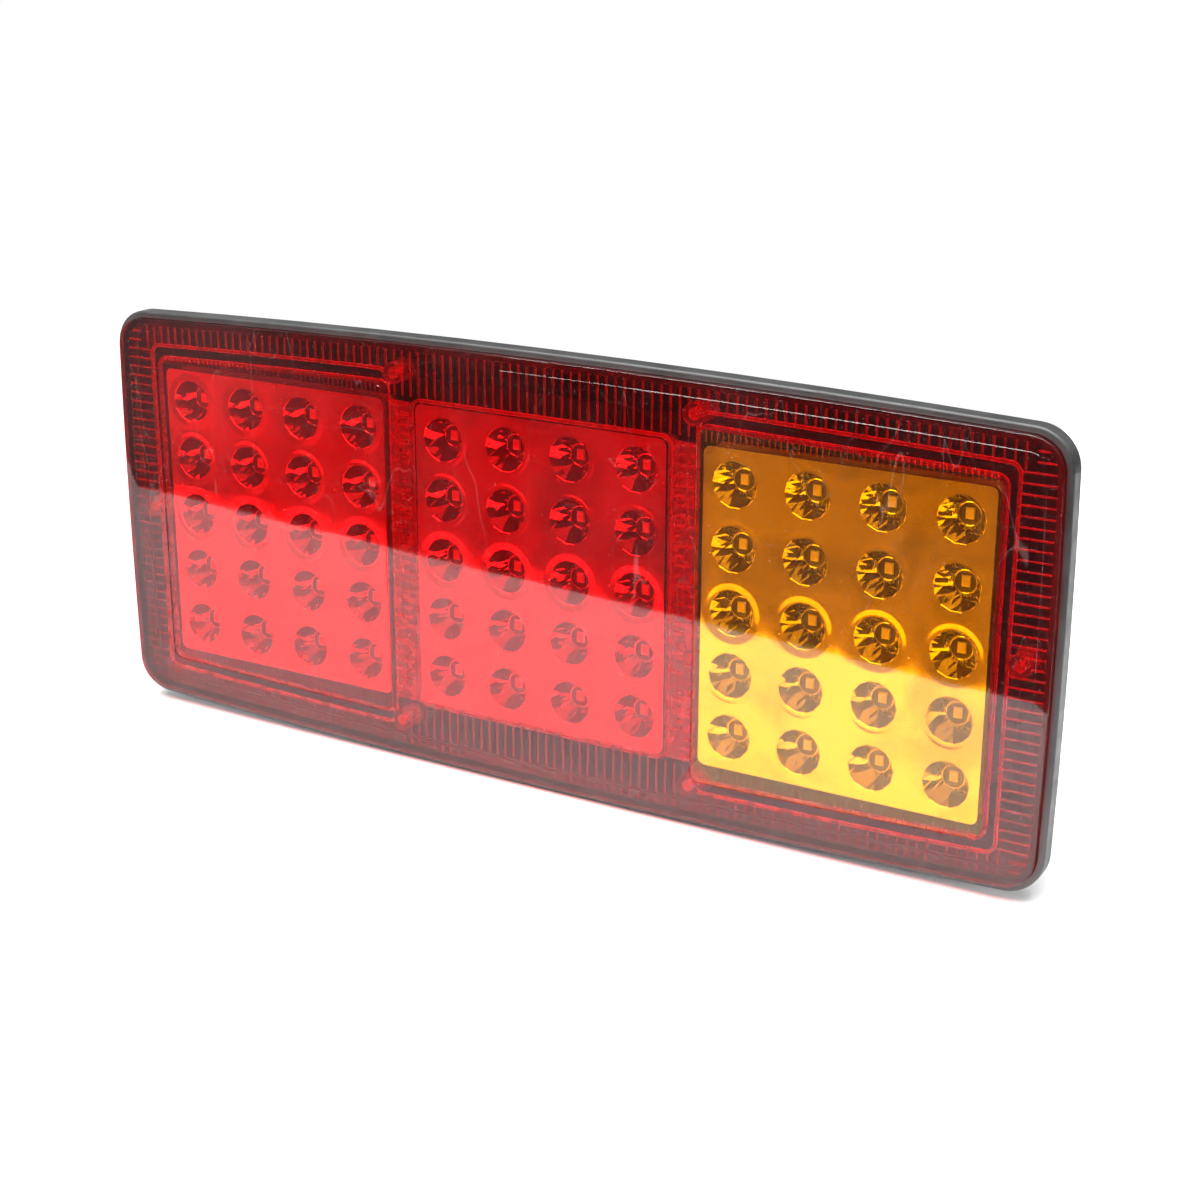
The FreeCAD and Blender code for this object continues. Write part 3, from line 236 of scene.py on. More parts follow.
def window_outline(near, far, inset, corner, side=1):
    """An opening with upright sides, whose top and bottom follow the lamp's long bow."""
    radius = LONG_BOW - inset - corner
    places = []
    for across in (far - corner, near + corner):
        places.append((across, TOP_CENTRE[1] + math.sqrt(radius ** 2 - across ** 2)))
    far_turn, near_turn = (angle_from(TOP_CENTRE, place) for place in places)
    half = arc(places[0], corner, 0, far_turn, CURVE_STEPS)
    half += arc(TOP_CENTRE, LONG_BOW - inset, far_turn, near_turn, CURVE_STEPS)[1:]
    half += arc(places[1], corner, near_turn, math.pi, CURVE_STEPS)[1:]
    points = half + [(x, -z) for x, z in reversed(half)]
    return points if side > 0 else [(-x, z) for x, z in reversed(points)]


def round_rectangle(wide, high, corner):
    """A rectangle given by its half sizes."""
    quarter = [(wide, 0.0)]
    quarter += arc((wide - corner, high - corner), corner, 0, math.pi / 2, CURVE_STEPS)
    return four_quarters(quarter + [(0.0, high)])


def circle(centre, radius, steps=ROUND_STEPS):
    return arc(centre, radius, 0, 2 * math.pi, steps)[:-1]


def edge_insets(inset, depth, radius, steps=6):
    """A quarter round between a side wall at inset and a front at depth, as (inset, depth) pairs."""
    turns = [math.pi / 2 * i / steps for i in range(steps + 1)]
    return [(inset + radius * (1 - math.cos(t)), depth - radius * (1 - math.sin(t))) for t in turns]


# ---------------------------------------------------------------- solids

# material slots of every solid made here; on plates and LEDs FLUTED is the cups and the resin
CLEAR, FLUTED, RIBBED, WEB, MATT = SLOTS = range(5)


def put(point):
    """A (across, up, depth) point in mm, in the frame's metres."""
    across, up, depth = point
    return Vector((across * MM, -depth * MM, up * MM))


def at_depth(outline, depth):
    return [(x, z, depth) for x, z in outline]


def add_bands(mesh, rings):
    """Skins the space between rings that have the same number of points. Returns their vertices."""
    rows = [[mesh.verts.new(put(point)) for point in ring] for ring in rings]
    for row, following in zip(rows, rows[1:]):
        for i in range(len(row)):
            j = (i + 1) % len(row)
            mesh.faces.new((row[i], row[j], following[j], following[i]))
    return rows


def add_loft(mesh, rings, close_end=True):
    """Bands that are closed at the start, and at the end unless told otherwise. Returns the last row."""
    rows = add_bands(mesh, rings)
    mesh.faces.new(list(reversed(rows[0])))
    if close_end:
        mesh.faces.new(rows[-1])
    return rows[-1]


def to_object(mesh, name, finish=CLEAR):
    """Turns a bmesh into an object whose faces point outwards. finish is its faces' material slot."""
    bmesh.ops.recalc_face_normals(mesh, faces=mesh.faces)
    for face in mesh.faces:
        face.material_index = face.material_index or finish
    data = bpy.data.meshes.new(name)
    mesh.to_mesh(data)
    mesh.free()
    for _ in SLOTS:
        data.materials.append(None)
    made = bpy.data.objects.new(name, data)
    bpy.context.scene.collection.objects.link(made)
    return made


def solid(name, *lofts, finish=CLEAR):
    """One object from closed lofts that don't touch, each a list of rings."""
    mesh = bmesh.new()
    for rings in lofts:
        add_loft(mesh, rings)
    return to_object(mesh, name, finish)


def prism(name, outline, back, front, finish=CLEAR):
    return solid(name, [at_depth(outline, back), at_depth(outline, front)], finish=finish)


def combine(body, tool, how):
    """Joins tool to body, cuts it away or keeps what they share, and removes tool."""
    step = body.modifiers.new(how, "BOOLEAN")
    step.operation = how
    step.solver = "MANIFOLD"
    step.material_mode = "INDEX"
    step.object = tool
    depsgraph = bpy.context.evaluated_depsgraph_get()
    old = body.data
    body.data = bpy.data.meshes.new_from_object(body.evaluated_get(depsgraph))
    body.modifiers.clear()
    body.data.name = body.name
    bpy.data.meshes.remove(old)
    data = tool.data
    bpy.data.objects.remove(tool)
    bpy.data.meshes.remove(data)
    return body


def clean(piece, flat_over=LENS_SHARP):
    """Welds slivers that a boolean leaves, and smooths all edges but the real ones."""
    mesh = bmesh.new()
    mesh.from_mesh(piece.data)
    bmesh.ops.remove_doubles(mesh, verts=mesh.verts, dist=SLIVER * MM)
    bmesh.ops.dissolve_degenerate(mesh, edges=mesh.edges, dist=SLIVER / 2 * MM)
    mesh.to_mesh(piece.data)
    mesh.free()
    piece.data.shade_smooth()
    piece.data.set_sharp_from_angle(angle=math.radians(flat_over))


# ---------------------------------------------------------------- lens

def wall_between(name, outer, inner, back, front):
    """A rib that follows two outlines."""
    core = prism("core", inner, back - CLEARLY, front + CLEARLY, RIBBED)
    return combine(prism(name, outer, back, front, RIBBED), core, "DIFFERENCE")


def bars(name, centres, from_to, wide, deep, upright, finish=FLUTED):
    """Round-topped bars on the lens's inner face, rooted a little way into it."""
    root = LENS_INNER + OVERLAP
    start, end = from_to
    lofts = []
    for centre in centres:
        section = [(centre + wide * u, LENS_INNER - deep * v) for u, v in BAR_PROFILE]
        section += [(centre + wide / 2, root), (centre - wide / 2, root)]
        if upright:
            lofts.append([[(u, place, depth) for u, depth in section] for place in (start, end)])
        else:
            lofts.append([[(place, u, depth) for u, depth in section] for place in (start, end)])
    return solid(name, *lofts, finish=finish)


def spaced(pitch, reach):
    """Places a pitch apart, balanced about the middle, that stay within reach."""
    count = int(reach / pitch)
    return [pitch * i for i in range(-count, count + 1)]


def slab(name, across, up, back, front, finish=FLUTED):
    """A plain block between two pairs of places."""
    (left, right), (low, high) = across, up
    return prism(name, [(left, low), (right, low), (right, high), (left, high)], back, front, finish)


def flute_field():
    """The fluted border of the lens: everything outside the windows' ribs, as one thick sheet."""
    back, front = LENS_INNER - 2 * CLEARLY, LENS_INNER + FLUTE_SINK
    field = prism("flute_field", lamp_outline(FLUTE_INSET), back, front, FLUTED)
    wall = RIB_WALL - OVERLAP
    middle = round_rectangle(MIDDLE_WIDE + wall, MIDDLE_HIGH + wall, WINDOW_CORNER + wall)
    low, high = back - CLEARLY, front + CLEARLY
    combine(field, prism("hole", middle, low, high, FLUTED), "DIFFERENCE")
    for side in (-1, 1):
        window = window_outline(WINDOW_NEAR - wall, WINDOW_FAR + FRAME_STEP + wall,
                                WINDOW_INSET - FRAME_RISE - wall, WINDOW_CORNER + wall, side)
        combine(field, prism("hole", window, low, high, FLUTED), "DIFFERENCE")
    return field


def flutes():
    """Upright flutes above and below the windows, and level ones in the ends and between them."""
    upright = bars("flutes", spaced(FLUTE_PITCH, FLUTE_ACROSS), (-HALF_HIGH, HALF_HIGH),
                   FLUTE_WIDE, FLUTE_DEEP, True)
    level = bars("level_flutes", spaced(FLUTE_PITCH, FLUTE_UP), (-HALF_WIDE, HALF_WIDE),
                 FLUTE_WIDE, FLUTE_DEEP, False)
    low, high = LENS_INNER - FLUTE_DEEP - CLEARLY, LENS_INNER + OVERLAP + CLEARLY
    clear_up = MIDDLE_HIGH + FLUTE_CLEAR
    middle_band = slab("band", (-HALF_WIDE, HALF_WIDE), (-clear_up, clear_up), low, high)
    combine(upright, middle_band, "DIFFERENCE")
    clear_across = WINDOW_NEAR + FLUTE_TRIM
    strips = slab("band", (-clear_across, clear_across), (-HALF_HIGH, HALF_HIGH), low, high)
    combine(level, strips, "DIFFERENCE")
    for side in (-1, 1):
        ends = slab("band", sorted((side * (WINDOW_NEAR - FLUTE_TRIM), side * HALF_WIDE)),
                    (-UPRIGHT_FROM, UPRIGHT_FROM), low, high)
        combine(upright, ends, "DIFFERENCE")
        for rise in (-1, 1):
            corner = slab("band", sorted((side * WINDOW_NEAR, side * CORNER_FROM)),
                          sorted((rise * LEVEL_TO, rise * HALF_HIGH)), low, high)
            combine(level, corner, "DIFFERENCE")
    combine(upright, level, "UNION")
    return combine(upright, flute_field(), "INTERSECT")


def lens_shell():
    """The moulding's skirt, round edge, band, bevel and front, hollow behind."""
    band = LENS_FRONT - BAND_DROP
    profile = [(LENS_INSET, SKIRT_BACK)] + edge_insets(LENS_INSET, band, EDGE_ROUND)
    profile += [(STEP_OUTER, band), (STEP_INNER - STEP_SOFT, LENS_FRONT - STEP_SOFT / 2),
                (STEP_INNER + STEP_SOFT, LENS_FRONT)]
    shell = solid("red_lens", [at_depth(lamp_outline(inset), depth) for inset, depth in profile])
    inside = LENS_INSET + SKIRT_WALL
    hollow = prism("hollow", lamp_outline(inside), SKIRT_BACK - CLEARLY, LENS_INNER)
    return combine(shell, hollow, "DIFFERENCE")


def lens_ribs():
    """The ribs that frame each chamber, from inside the lens's wall backwards."""
    root = LENS_INNER + OVERLAP
    middle = wall_between(
        "ribs",
        round_rectangle(MIDDLE_WIDE + RIB_WALL, MIDDLE_HIGH + RIB_WALL, WINDOW_CORNER + RIB_WALL),
        round_rectangle(MIDDLE_WIDE, MIDDLE_HIGH, WINDOW_CORNER), LENS_INNER - RIB_DEEP, root)
    for side in (-1, 1):
        for step, rise, spare in ((0, 0, OVERLAP), (FRAME_STEP, FRAME_RISE, 0)):
            outer = window_outline(WINDOW_NEAR - RIB_WALL, WINDOW_FAR + step + RIB_WALL,
                                   WINDOW_INSET - rise - RIB_WALL, WINDOW_CORNER + RIB_WALL, side)
            inner = window_outline(WINDOW_NEAR + OVERLAP, WINDOW_FAR + step - spare,
                                   WINDOW_INSET - rise + spare, WINDOW_CORNER - spare, side)
            combine(middle, wall_between("rib", outer, inner, LENS_INNER - RIB_DEEP, root), "UNION")
    return middle


def strip_webs(lens):
    """The glowing webs between the middle chamber and the side windows, each with two rows of bars. Their
    glow is painted light for the lit parts behind the strips.
    """
    high = MIDDLE_HIGH - WEB_SHORT
    near, far = MIDDLE_WIDE + RIB_WALL - OVERLAP, WINDOW_NEAR - RIB_WALL + OVERLAP
    for side in (-1, 1):
        web = slab("web", sorted((side * near, side * far)), (-high, high),
                   LENS_INNER - WEB_DEEP, LENS_INNER + OVERLAP, WEB)
        combine(lens, web, "UNION")
        for reach, wide, deep in STRIP_BARS:
            rows = bars("strip_bars", spaced(FLUTE_PITCH, high - BAR_MARGIN),
                        sorted(side * place for place in reach), wide, deep, False, RIBBED)
            combine(lens, rows, "UNION")


def build_lens():
    """The red moulding with its openings, ribs, flutes and screw bosses."""
    lens = lens_shell()
    combine(lens, flutes(), "UNION")
    combine(lens, lens_ribs(), "UNION")
    strip_webs(lens)
    for place in SCREWS:
        boss = prism("boss", circle(place, BOSS_RADIUS), BOSS_BACK, LENS_INNER + OVERLAP, FLUTED)
        combine(lens, boss, "UNION")
        pilot = prism("pilot", circle(place, PILOT_RADIUS, HOLE_STEPS), BOSS_BACK - CLEARLY,
                      LENS_INNER - PILOT_SHORT, FLUTED)
        combine(lens, pilot, "DIFFERENCE")
    for side in (-1, 1):
        opening = window_outline(WINDOW_NEAR, WINDOW_FAR, WINDOW_INSET, WINDOW_CORNER, side)
        cut = prism("opening", opening, LENS_INNER - RIB_DEEP - CLEARLY, LENS_FRONT + CLEARLY)
        combine(lens, cut, "DIFFERENCE")
    for face in lens.data.polygons:
        in_middle = abs(face.center.x) < MIDDLE_WIDE * MM and abs(face.center.z) < MIDDLE_HIGH * MM
        if face.material_index == CLEAR and face.normal.y > LOOKS_BACK and not in_middle:
            face.material_index = MATT
    clean(lens)
    return lens


def build_window(name, side):
    """A side insert: a flat pane with a softened edge and fine flutes behind its top and bottom."""
    rings = []
    third = PANE_SOFT / 3
    for drawn, depth in ((0, LENS_INNER), (0, LENS_FRONT - PANE_SOFT), (third, LENS_FRONT - third),
                         (PANE_SOFT, LENS_FRONT)):
        gap = GLUE_GAP + drawn
        outline = window_outline(WINDOW_NEAR + gap, WINDOW_FAR - gap, WINDOW_INSET + gap,
                                 WINDOW_CORNER - gap, side)
        rings.append(at_depth(outline, depth))
    pane = solid(name, rings)
    middle = (WINDOW_NEAR + WINDOW_FAR) / 2
    reach = (WINDOW_FAR - WINDOW_NEAR) / 2 - FINE_MARGIN
    centres = [side * middle + place for place in spaced(FINE_PITCH, reach)]
    for low, high in ((FINE_LOW, FINE_HIGH), (-FINE_HIGH, -FINE_LOW)):
        combine(pane, bars("fine", centres, (low, high), FINE_WIDE, FINE_DEEP, True), "UNION")
    clean(pane)
    return pane


# ---------------------------------------------------------------- reflectors

def cell_edge(centre, bounds, turns):
    """Where rays from a cup's centre meet its cell's edge. The ray nearest a corner goes to the corner."""
    left, right, low, high = bounds
    points = []
    for turn in turns:
        across, up = math.cos(turn), math.sin(turn)
        reaches = []
        if abs(across) > TINY:
            reaches.append(((right if across > 0 else left) - centre[0]) / across)
        if abs(up) > TINY:
            reaches.append(((high if up > 0 else low) - centre[1]) / up)
        reach = min(reaches)
        points.append((centre[0] + across * reach, centre[1] + up * reach))
    for corner in ((left, low), (left, high), (right, low), (right, high)):
        turn = angle_from(centre, corner)
        nearest = min(range(len(turns)), key=lambda i: abs(math.remainder(turns[i] - turn, 2 * math.pi)))
        points[nearest] = corner
    return points


def tier_radii():
    """Radii at which a kite between three tiers is flat, from the mouth down to the throat."""
    half = math.pi / CUP_SIDES
    last = CUP_TIERS * half
    swing = (THROAT - MOUTH * math.cos(last)) / math.sin(last)
    return [MOUTH * math.cos(i * half) + swing * math.sin(i * half) for i in range(CUP_TIERS + 1)]


def ring_round(centre, radius, depth, turns):
    return [(centre[0] + radius * math.cos(t), centre[1] + radius * math.sin(t), depth) for t in turns]


def on_polygon(centre, radius, depth, turns):
    """A ring whose points lie on the flat sides of the cup's many-sided mouth."""
    side = 2 * math.pi / CUP_SIDES
    points = []
    for turn in turns:
        off = math.remainder(turn - side / 2, side)
        reach = radius * math.cos(side / 2) / math.cos(off)
        points.append((centre[0] + reach * math.cos(turn), centre[1] + reach * math.sin(turn), depth))
    return points


def add_facets(mesh, centre, mouth_row):
    """The cup's inner face: tiers of flat kites, from the mouth's row of vertices to the throat."""
    step = 2 * math.pi / CUP_SIDES
    radii = tier_radii()
    top = PLATE_FRONT - DISH_DEEP - LIP
    fall = (top - (CUP_BACK + THROAT_LIP)) / CUP_TIERS
    rows = [mouth_row[::SIDE_PARTS]]
    for tier in range(1, CUP_TIERS + 1):
        turns = [(i + tier % 2 / 2) * step for i in range(CUP_SIDES)]
        depth = top - fall * tier
        rows.append([mesh.verts.new(put(p)) for p in ring_round(centre, radii[tier], depth, turns)])
    made = []
    for i in range(CUP_SIDES):
        # half kites under the mouth: each spans one flat side of it
        side = [mouth_row[(i * SIDE_PARTS + k) % len(mouth_row)] for k in range(SIDE_PARTS + 1)]
        made.append(mesh.faces.new(side[::-1] + [rows[1][i]]))
        for tier in range(1, CUP_TIERS):
            above, here, below = rows[tier - 1], rows[tier], rows[tier + 1]
            shift = tier % 2
            left, right = here[(i - shift) % CUP_SIDES], here[(i + 1 - shift) % CUP_SIDES]
            made.append(mesh.faces.new((above[i], left, below[i], right)))
        last = CUP_TIERS % 2
        above, here = rows[CUP_TIERS - 1], rows[CUP_TIERS]
        made.append(mesh.faces.new((above[(i + last) % CUP_SIDES], here[i], here[(i + 1) % CUP_SIDES])))
    for face in made:
        face.material_index = FLUTED
    return rows[-1]


def add_cup(mesh, centre, bounds, plate_bounds):
    """One cell of a reflector: the plate round a cup, the cup's facets, its throat and its outside."""
    count = CUP_SIDES * SIDE_PARTS
    turns = [2 * math.pi * i / count for i in range(count)]
    edge = cell_edge(centre, bounds, turns)
    dish = [(DISH - (DISH - MOUTH - LIP) * part, (1 - math.cos(math.pi * part)) / 2) for part in DISH_PARTS]
    front = [at_depth(edge, PLATE_FRONT)]
    front += [ring_round(centre, radius, PLATE_FRONT - DISH_DEEP * part, turns) for radius, part in dish]
    front.append(on_polygon(centre, MOUTH + LIP, PLATE_FRONT - DISH_DEEP, turns))
    front.append(on_polygon(centre, MOUTH, PLATE_FRONT - DISH_DEEP - LIP, turns))
    plate_back = PLATE_FRONT - PLATE_THICK
    lip, bead = CUP_BACK + THROAT_LIP, (THROAT - THROAT_BORE) / 2
    back = [ring_round(centre, THROAT_BORE + bead * (1 + math.cos(math.pi * part)) * THROAT_NEST,
                       lip + THROAT_BEAD * math.sin(math.pi * part), turns)
            for part in BEAD_PARTS]
    back += [ring_round(centre, THROAT_BORE, CUP_BACK, turns),
            ring_round(centre, THROAT + CUP_WALL, CUP_BACK, turns),
            ring_round(centre, MOUTH + CUP_WALL, plate_back, turns),
            at_depth(edge, plate_back)]
    front_rows = add_bands(mesh, front)
    back_rows = add_bands(mesh, back)
    throat = add_facets(mesh, centre, front_rows[-1])
    for i in range(CUP_SIDES):
        arc_part = [back_rows[0][(i * SIDE_PARTS + k) % count] for k in range(SIDE_PARTS + 1)]
        mesh.faces.new([throat[(i + 1) % CUP_SIDES], throat[i]] + arc_part)
    left, right, low, high = plate_bounds
    for i in range(count):
        j = (i + 1) % count
        ends = (edge[i], edge[j])
        outside = any(all(abs(end[axis] - limit) < ON_EDGE for end in ends)
                      for axis, limit in ((0, left), (0, right), (1, low), (1, high)))
        if outside:
            mesh.faces.new((front_rows[0][i], front_rows[0][j], back_rows[-1][j], back_rows[-1][i]))


def cups_of(side):
    """(column, row, centre) of every cup in a chamber."""
    for column in range(CUP_COLUMNS):
        for row in range(CUP_ROWS):
            yield column, row, (CHAMBERS[side] + CUP_ACROSS * (column - (CUP_COLUMNS - 1) / 2),
                                CUP_UP * (row - (CUP_ROWS - 1) / 2))


def cell_lines(count, pitch, low, high):
    """Edges of the cells along one direction: half way between cups, and the plate's own ends."""
    inner = [pitch * (i - count / 2) for i in range(1, count)]
    middle = (low + high) / 2
    return [low] + [middle + place for place in inner] + [high]


def build_reflector(side):
    """A metallised plate with faceted cups and four legs."""
    left, right, low, high = box_mm("reflector_" + side)[:4]
    across = cell_lines(CUP_COLUMNS, CUP_ACROSS, left, right)
    up = cell_lines(CUP_ROWS, CUP_UP, low, high)
    mesh = bmesh.new()
    for column, row, centre in cups_of(side):
        cell = (across[column], across[column + 1], up[row], up[row + 1])
        add_cup(mesh, centre, cell, (left, right, low, high))
    bmesh.ops.remove_doubles(mesh, verts=mesh.verts, dist=WELD * MM)
    plate = to_object(mesh, "reflector_plate_" + side)
    for leg_across, leg_up in LEG_PLACES:
        place = (CHAMBERS[side] + leg_across, leg_up)
        leg = prism("leg", circle(place, LEG_RADIUS, HOLE_STEPS), CUP_BACK, PLATE_FRONT - PLATE_THICK / 2)
        combine(plate, leg, "UNION")
    outline = round_rectangle((right - left) / 2, (high - low) / 2, PLATE_CORNER)
    outline = [(x + CHAMBERS[side], z) for x, z in outline]
    combine(plate, prism("outline", outline, CUP_BACK - CLEARLY, PLATE_FRONT + CLEARLY), "INTERSECT")
    clean(plate, CUP_SHARP)
    return plate


# ---------------------------------------------------------------- LEDs

def add_led(mesh, centre, back, front):
    """One package: straight foot, tapered body, softened top, and a well with a low dome of resin."""
    turns = [2 * math.pi * (i + 0.5) / LED_STEPS for i in range(LED_STEPS)]
    soft, drop = LED_SOFT
    rings = []
    for drawn, depth in ((0.0, back), (0.0, back + LED_FOOT), (LED_TAPER, front - drop),
                         (LED_TAPER + soft, front)):
        wide, high = LED_WIDE / 2 - drawn, LED_HIGH / 2 - drawn
        bounds = (centre[0] - wide, centre[0] + wide, centre[1] - high, centre[1] + high)
        rings.append(at_depth(cell_edge(centre, bounds, turns), depth))
    lip, sunk = WELL_LIP
    rings += [ring_round(centre, LED_WELL, front, turns),
              ring_round(centre, LED_WELL - lip, front - sunk, turns)]
    previous = add_loft(mesh, rings, close_end=False)
    middle = mesh.verts.new(put((centre[0], centre[1], front - RESIN_TOP)))
    for share, drop in RESIN_DOME:
        ring = [mesh.verts.new(put(p)) for p in ring_round(centre, LED_WELL * share, front - drop, turns)]
        for i in range(LED_STEPS):
            j = (i + 1) % LED_STEPS
            mesh.faces.new((previous[i], previous[j], ring[j], ring[i])).material_index = FLUTED
        previous = ring
    for i in range(LED_STEPS):
        mesh.faces.new((previous[i], previous[(i + 1) % LED_STEPS], middle)).material_index = FLUTED


def build_leds(side):
    """The surface-mounted LED packages of one chamber, each with a well of clear resin."""
    back, front = box_mm("leds_" + side)[4:]
    mesh = bmesh.new()
    for _, _, centre in cups_of(side):
        add_led(mesh, centre, back, front)
    leds = to_object(mesh, "led_packages_" + side)
    clean(leds, LED_SHARP)
    return leds


# ---------------------------------------------------------------- materials

USUAL = (0.3, 0.7)       # nearly all noise values lie between these


def new_material(name):
    material = bpy.data.materials.new(name)
    material.use_nodes = True
    material.node_tree.nodes.clear()
    return material, material.node_tree


def add(tree, kind, inputs=None, **settings):
    """Adds a node. inputs gives a value for a socket, or another node's socket to link to it."""
    node = tree.nodes.new(kind)
    for setting, value in settings.items():
        setattr(node, setting, value)
    for socket, value in (inputs or {}).items():
        if isinstance(value, bpy.types.NodeSocket):
            tree.links.new(value, node.inputs[socket])
        else:
            node.inputs[socket].default_value = value
    return node


def finish_with(tree, shader):
    add(tree, "ShaderNodeOutputMaterial", {"Surface": shader})


def noise(tree, scale, detail=3.0, stretch=(1, 1, 1), distortion=0.0):
    """Noise over the object's own space. scale is per metre."""
    where = add(tree, "ShaderNodeTexCoord").outputs["Object"]
    placed = add(tree, "ShaderNodeMapping", {"Vector": where, "Scale": stretch}).outputs["Vector"]
    made = add(tree, "ShaderNodeTexNoise",
               {"Vector": placed, "Scale": scale, "Detail": detail, "Distortion": distortion})
    return made.outputs["Fac"]


def ramp(tree, value, low, high, to_low=0.0, to_high=1.0):
    return add(tree, "ShaderNodeMapRange",
               {"Value": value, "From Min": low, "From Max": high,
                "To Min": to_low, "To Max": to_high}).outputs["Result"]


def blend(tree, factor, first, second):
    """Mixes two colours."""
    node = add(tree, "ShaderNodeMix", data_type="RGBA")
    tree.links.new(factor, node.inputs["Factor"])
    for socket, value in (("A", first), ("B", second)):
        target = [s for s in node.inputs if s.name == socket and s.type == "RGBA"][0]
        if isinstance(value, bpy.types.NodeSocket):
            tree.links.new(value, target)
        else:
            target.default_value = value
    return [s for s in node.outputs if s.type == "RGBA"][0]


def bump(tree, height, distance, strength=1.0, after=None):
    inputs = {"Height": height, "Distance": distance, "Strength": strength}
    if after is not None:
        inputs["Normal"] = after
    return add(tree, "ShaderNodeBump", inputs).outputs["Normal"]


def math_node(tree, operation, *values, clamp=False):
    inputs = dict(enumerate(values))
    return add(tree, "ShaderNodeMath", inputs, operation=operation, use_clamp=clamp).outputs[0]


def mix_shaders(tree, share, first, second):
    return add(tree, "ShaderNodeMixShader", {0: share, 1: first, 2: second}).outputs[0]


def lines(tree, scale, stretch, thin):
    """Fine scratches: the narrow band where a stretched noise crosses its middle."""
    middle = 0.5
    value = noise(tree, scale, 1.0, stretch, distortion=0.4)
    away = math_node(tree, "ABSOLUTE", math_node(tree, "SUBTRACT", value, middle))
    return ramp(tree, away, 0.0, thin, 1.0, 0.0)


def colour(red, green, blue):
    return (red, green, blue, 1.0)


def solid_finish(name, main, other, roughness, grain, grain_depth, metallic=0.0, patch=60.0,
                 scratch=0.0, spread=0.12):
    """An opaque finish: two close colours in patches, grain, uneven gloss and light scratches."""
    material, tree = new_material(name)
    patches = ramp(tree, noise(tree, patch, 4.0), 0.35, 0.65)
    fine = noise(tree, grain, 2.0)
    base = blend(tree, patches, main, other)
    rough = ramp(tree, noise(tree, patch * 3, 3.0), *USUAL, roughness - spread / 2, roughness + spread / 2)
    normal = bump(tree, fine, grain_depth)
    if scratch:
        marks = lines(tree, 90.0, (1.0, 1.0, 0.12), 0.004)
        faint = ramp(tree, marks, 0.0, 1.0, 0.0, scratch)
        rough = math_node(tree, "ADD", rough, faint, clamp=True)
        normal = bump(tree, marks, -grain_depth, 0.5, normal)
    shader = add(tree, "ShaderNodeBsdfPrincipled",
                 {"Base Color": base, "Roughness": rough, "Metallic": metallic, "Normal": normal})
    finish_with(tree, shader.outputs[0])
    return material


def mirror_share(tree):
    """How much clear plastic mirrors: 4% head on, all of it at a glancing angle."""
    head_on = 0.04
    facing = add(tree, "ShaderNodeLayerWeight", {"Blend": 0.5}).outputs["Facing"]
    steep = math_node(tree, "POWER", facing, 5.0)
    return math_node(tree, "MULTIPLY_ADD", steep, 1 - head_on, head_on)


def clear_plastic(name, tint, dust, lit, scatter, gloss=1.0):
    """A face of tinted clear plastic that mirrors the room, with scratches and a little dust.
    A small share of the light scatters inside it, in the colour lit."""
    material, tree = new_material(name)
    marks = lines(tree, 55.0, (1.0, 1.0, 0.2), 0.0022)
    more = lines(tree, 70.0, (0.25, 1.0, 1.0), 0.0016)
    marks = math_node(tree, "MAXIMUM", marks, more)
    specks = ramp(tree, noise(tree, 1700.0, 1.0), 0.745, 0.79)
    film = ramp(tree, noise(tree, 25.0, 4.0), 0.35, 0.75, 0.0, 0.010)
    scratched, speckled = 0.06, 0.25
    dirt = math_node(tree, "MULTIPLY_ADD", marks, scratched, film)
    dirt = math_node(tree, "MULTIPLY_ADD", specks, speckled, dirt)
    rough = ramp(tree, noise(tree, 40.0, 3.0), *USUAL, 0.015, 0.05)
    wave = bump(tree, noise(tree, 28.0, 1.0), 0.00012, 0.35)
    through = add(tree, "ShaderNodeBsdfTransparent", {"Color": tint}).outputs[0]
    shine = add(tree, "ShaderNodeBsdfGlossy",
                {"Color": colour(1, 1, 1), "Roughness": rough, "Normal": wave}).outputs[0]
    grime = add(tree, "ShaderNodeBsdfDiffuse", {"Color": dust}).outputs[0]
    inside = add(tree, "ShaderNodeBsdfTranslucent", {"Color": lit}).outputs[0]
    cloudy = mix_shaders(tree, scatter, through, inside)
    body = mix_shaders(tree, dirt, cloudy, grime)
    share = math_node(tree, "MULTIPLY", mirror_share(tree), gloss)
    finish_with(tree, mix_shaders(tree, share, body, shine))
    return material


def ridge_plastic(name, tint, lit, share, gloss):
    """Flutes and ribs: the same plastic, bent so steeply that it glows instead of showing through."""
    material, tree = new_material(name)
    swing = 0.12
    soft_gloss = 0.15
    uneven = ramp(tree, noise(tree, 300.0, 3.0), *USUAL, share - swing, share + swing)
    through = add(tree, "ShaderNodeBsdfTransparent", {"Color": tint}).outputs[0]
    glow = add(tree, "ShaderNodeBsdfTranslucent", {"Color": lit}).outputs[0]
    face = add(tree, "ShaderNodeBsdfDiffuse", {"Color": lit}).outputs[0]
    lit_from_behind = 0.4
    both = mix_shaders(tree, lit_from_behind, face, glow)
    body = mix_shaders(tree, uneven, through, both)
    shine = add(tree, "ShaderNodeBsdfGlossy", {"Color": tint, "Roughness": soft_gloss}).outputs[0]
    finish_with(tree, mix_shaders(tree, gloss, body, shine))
    return material


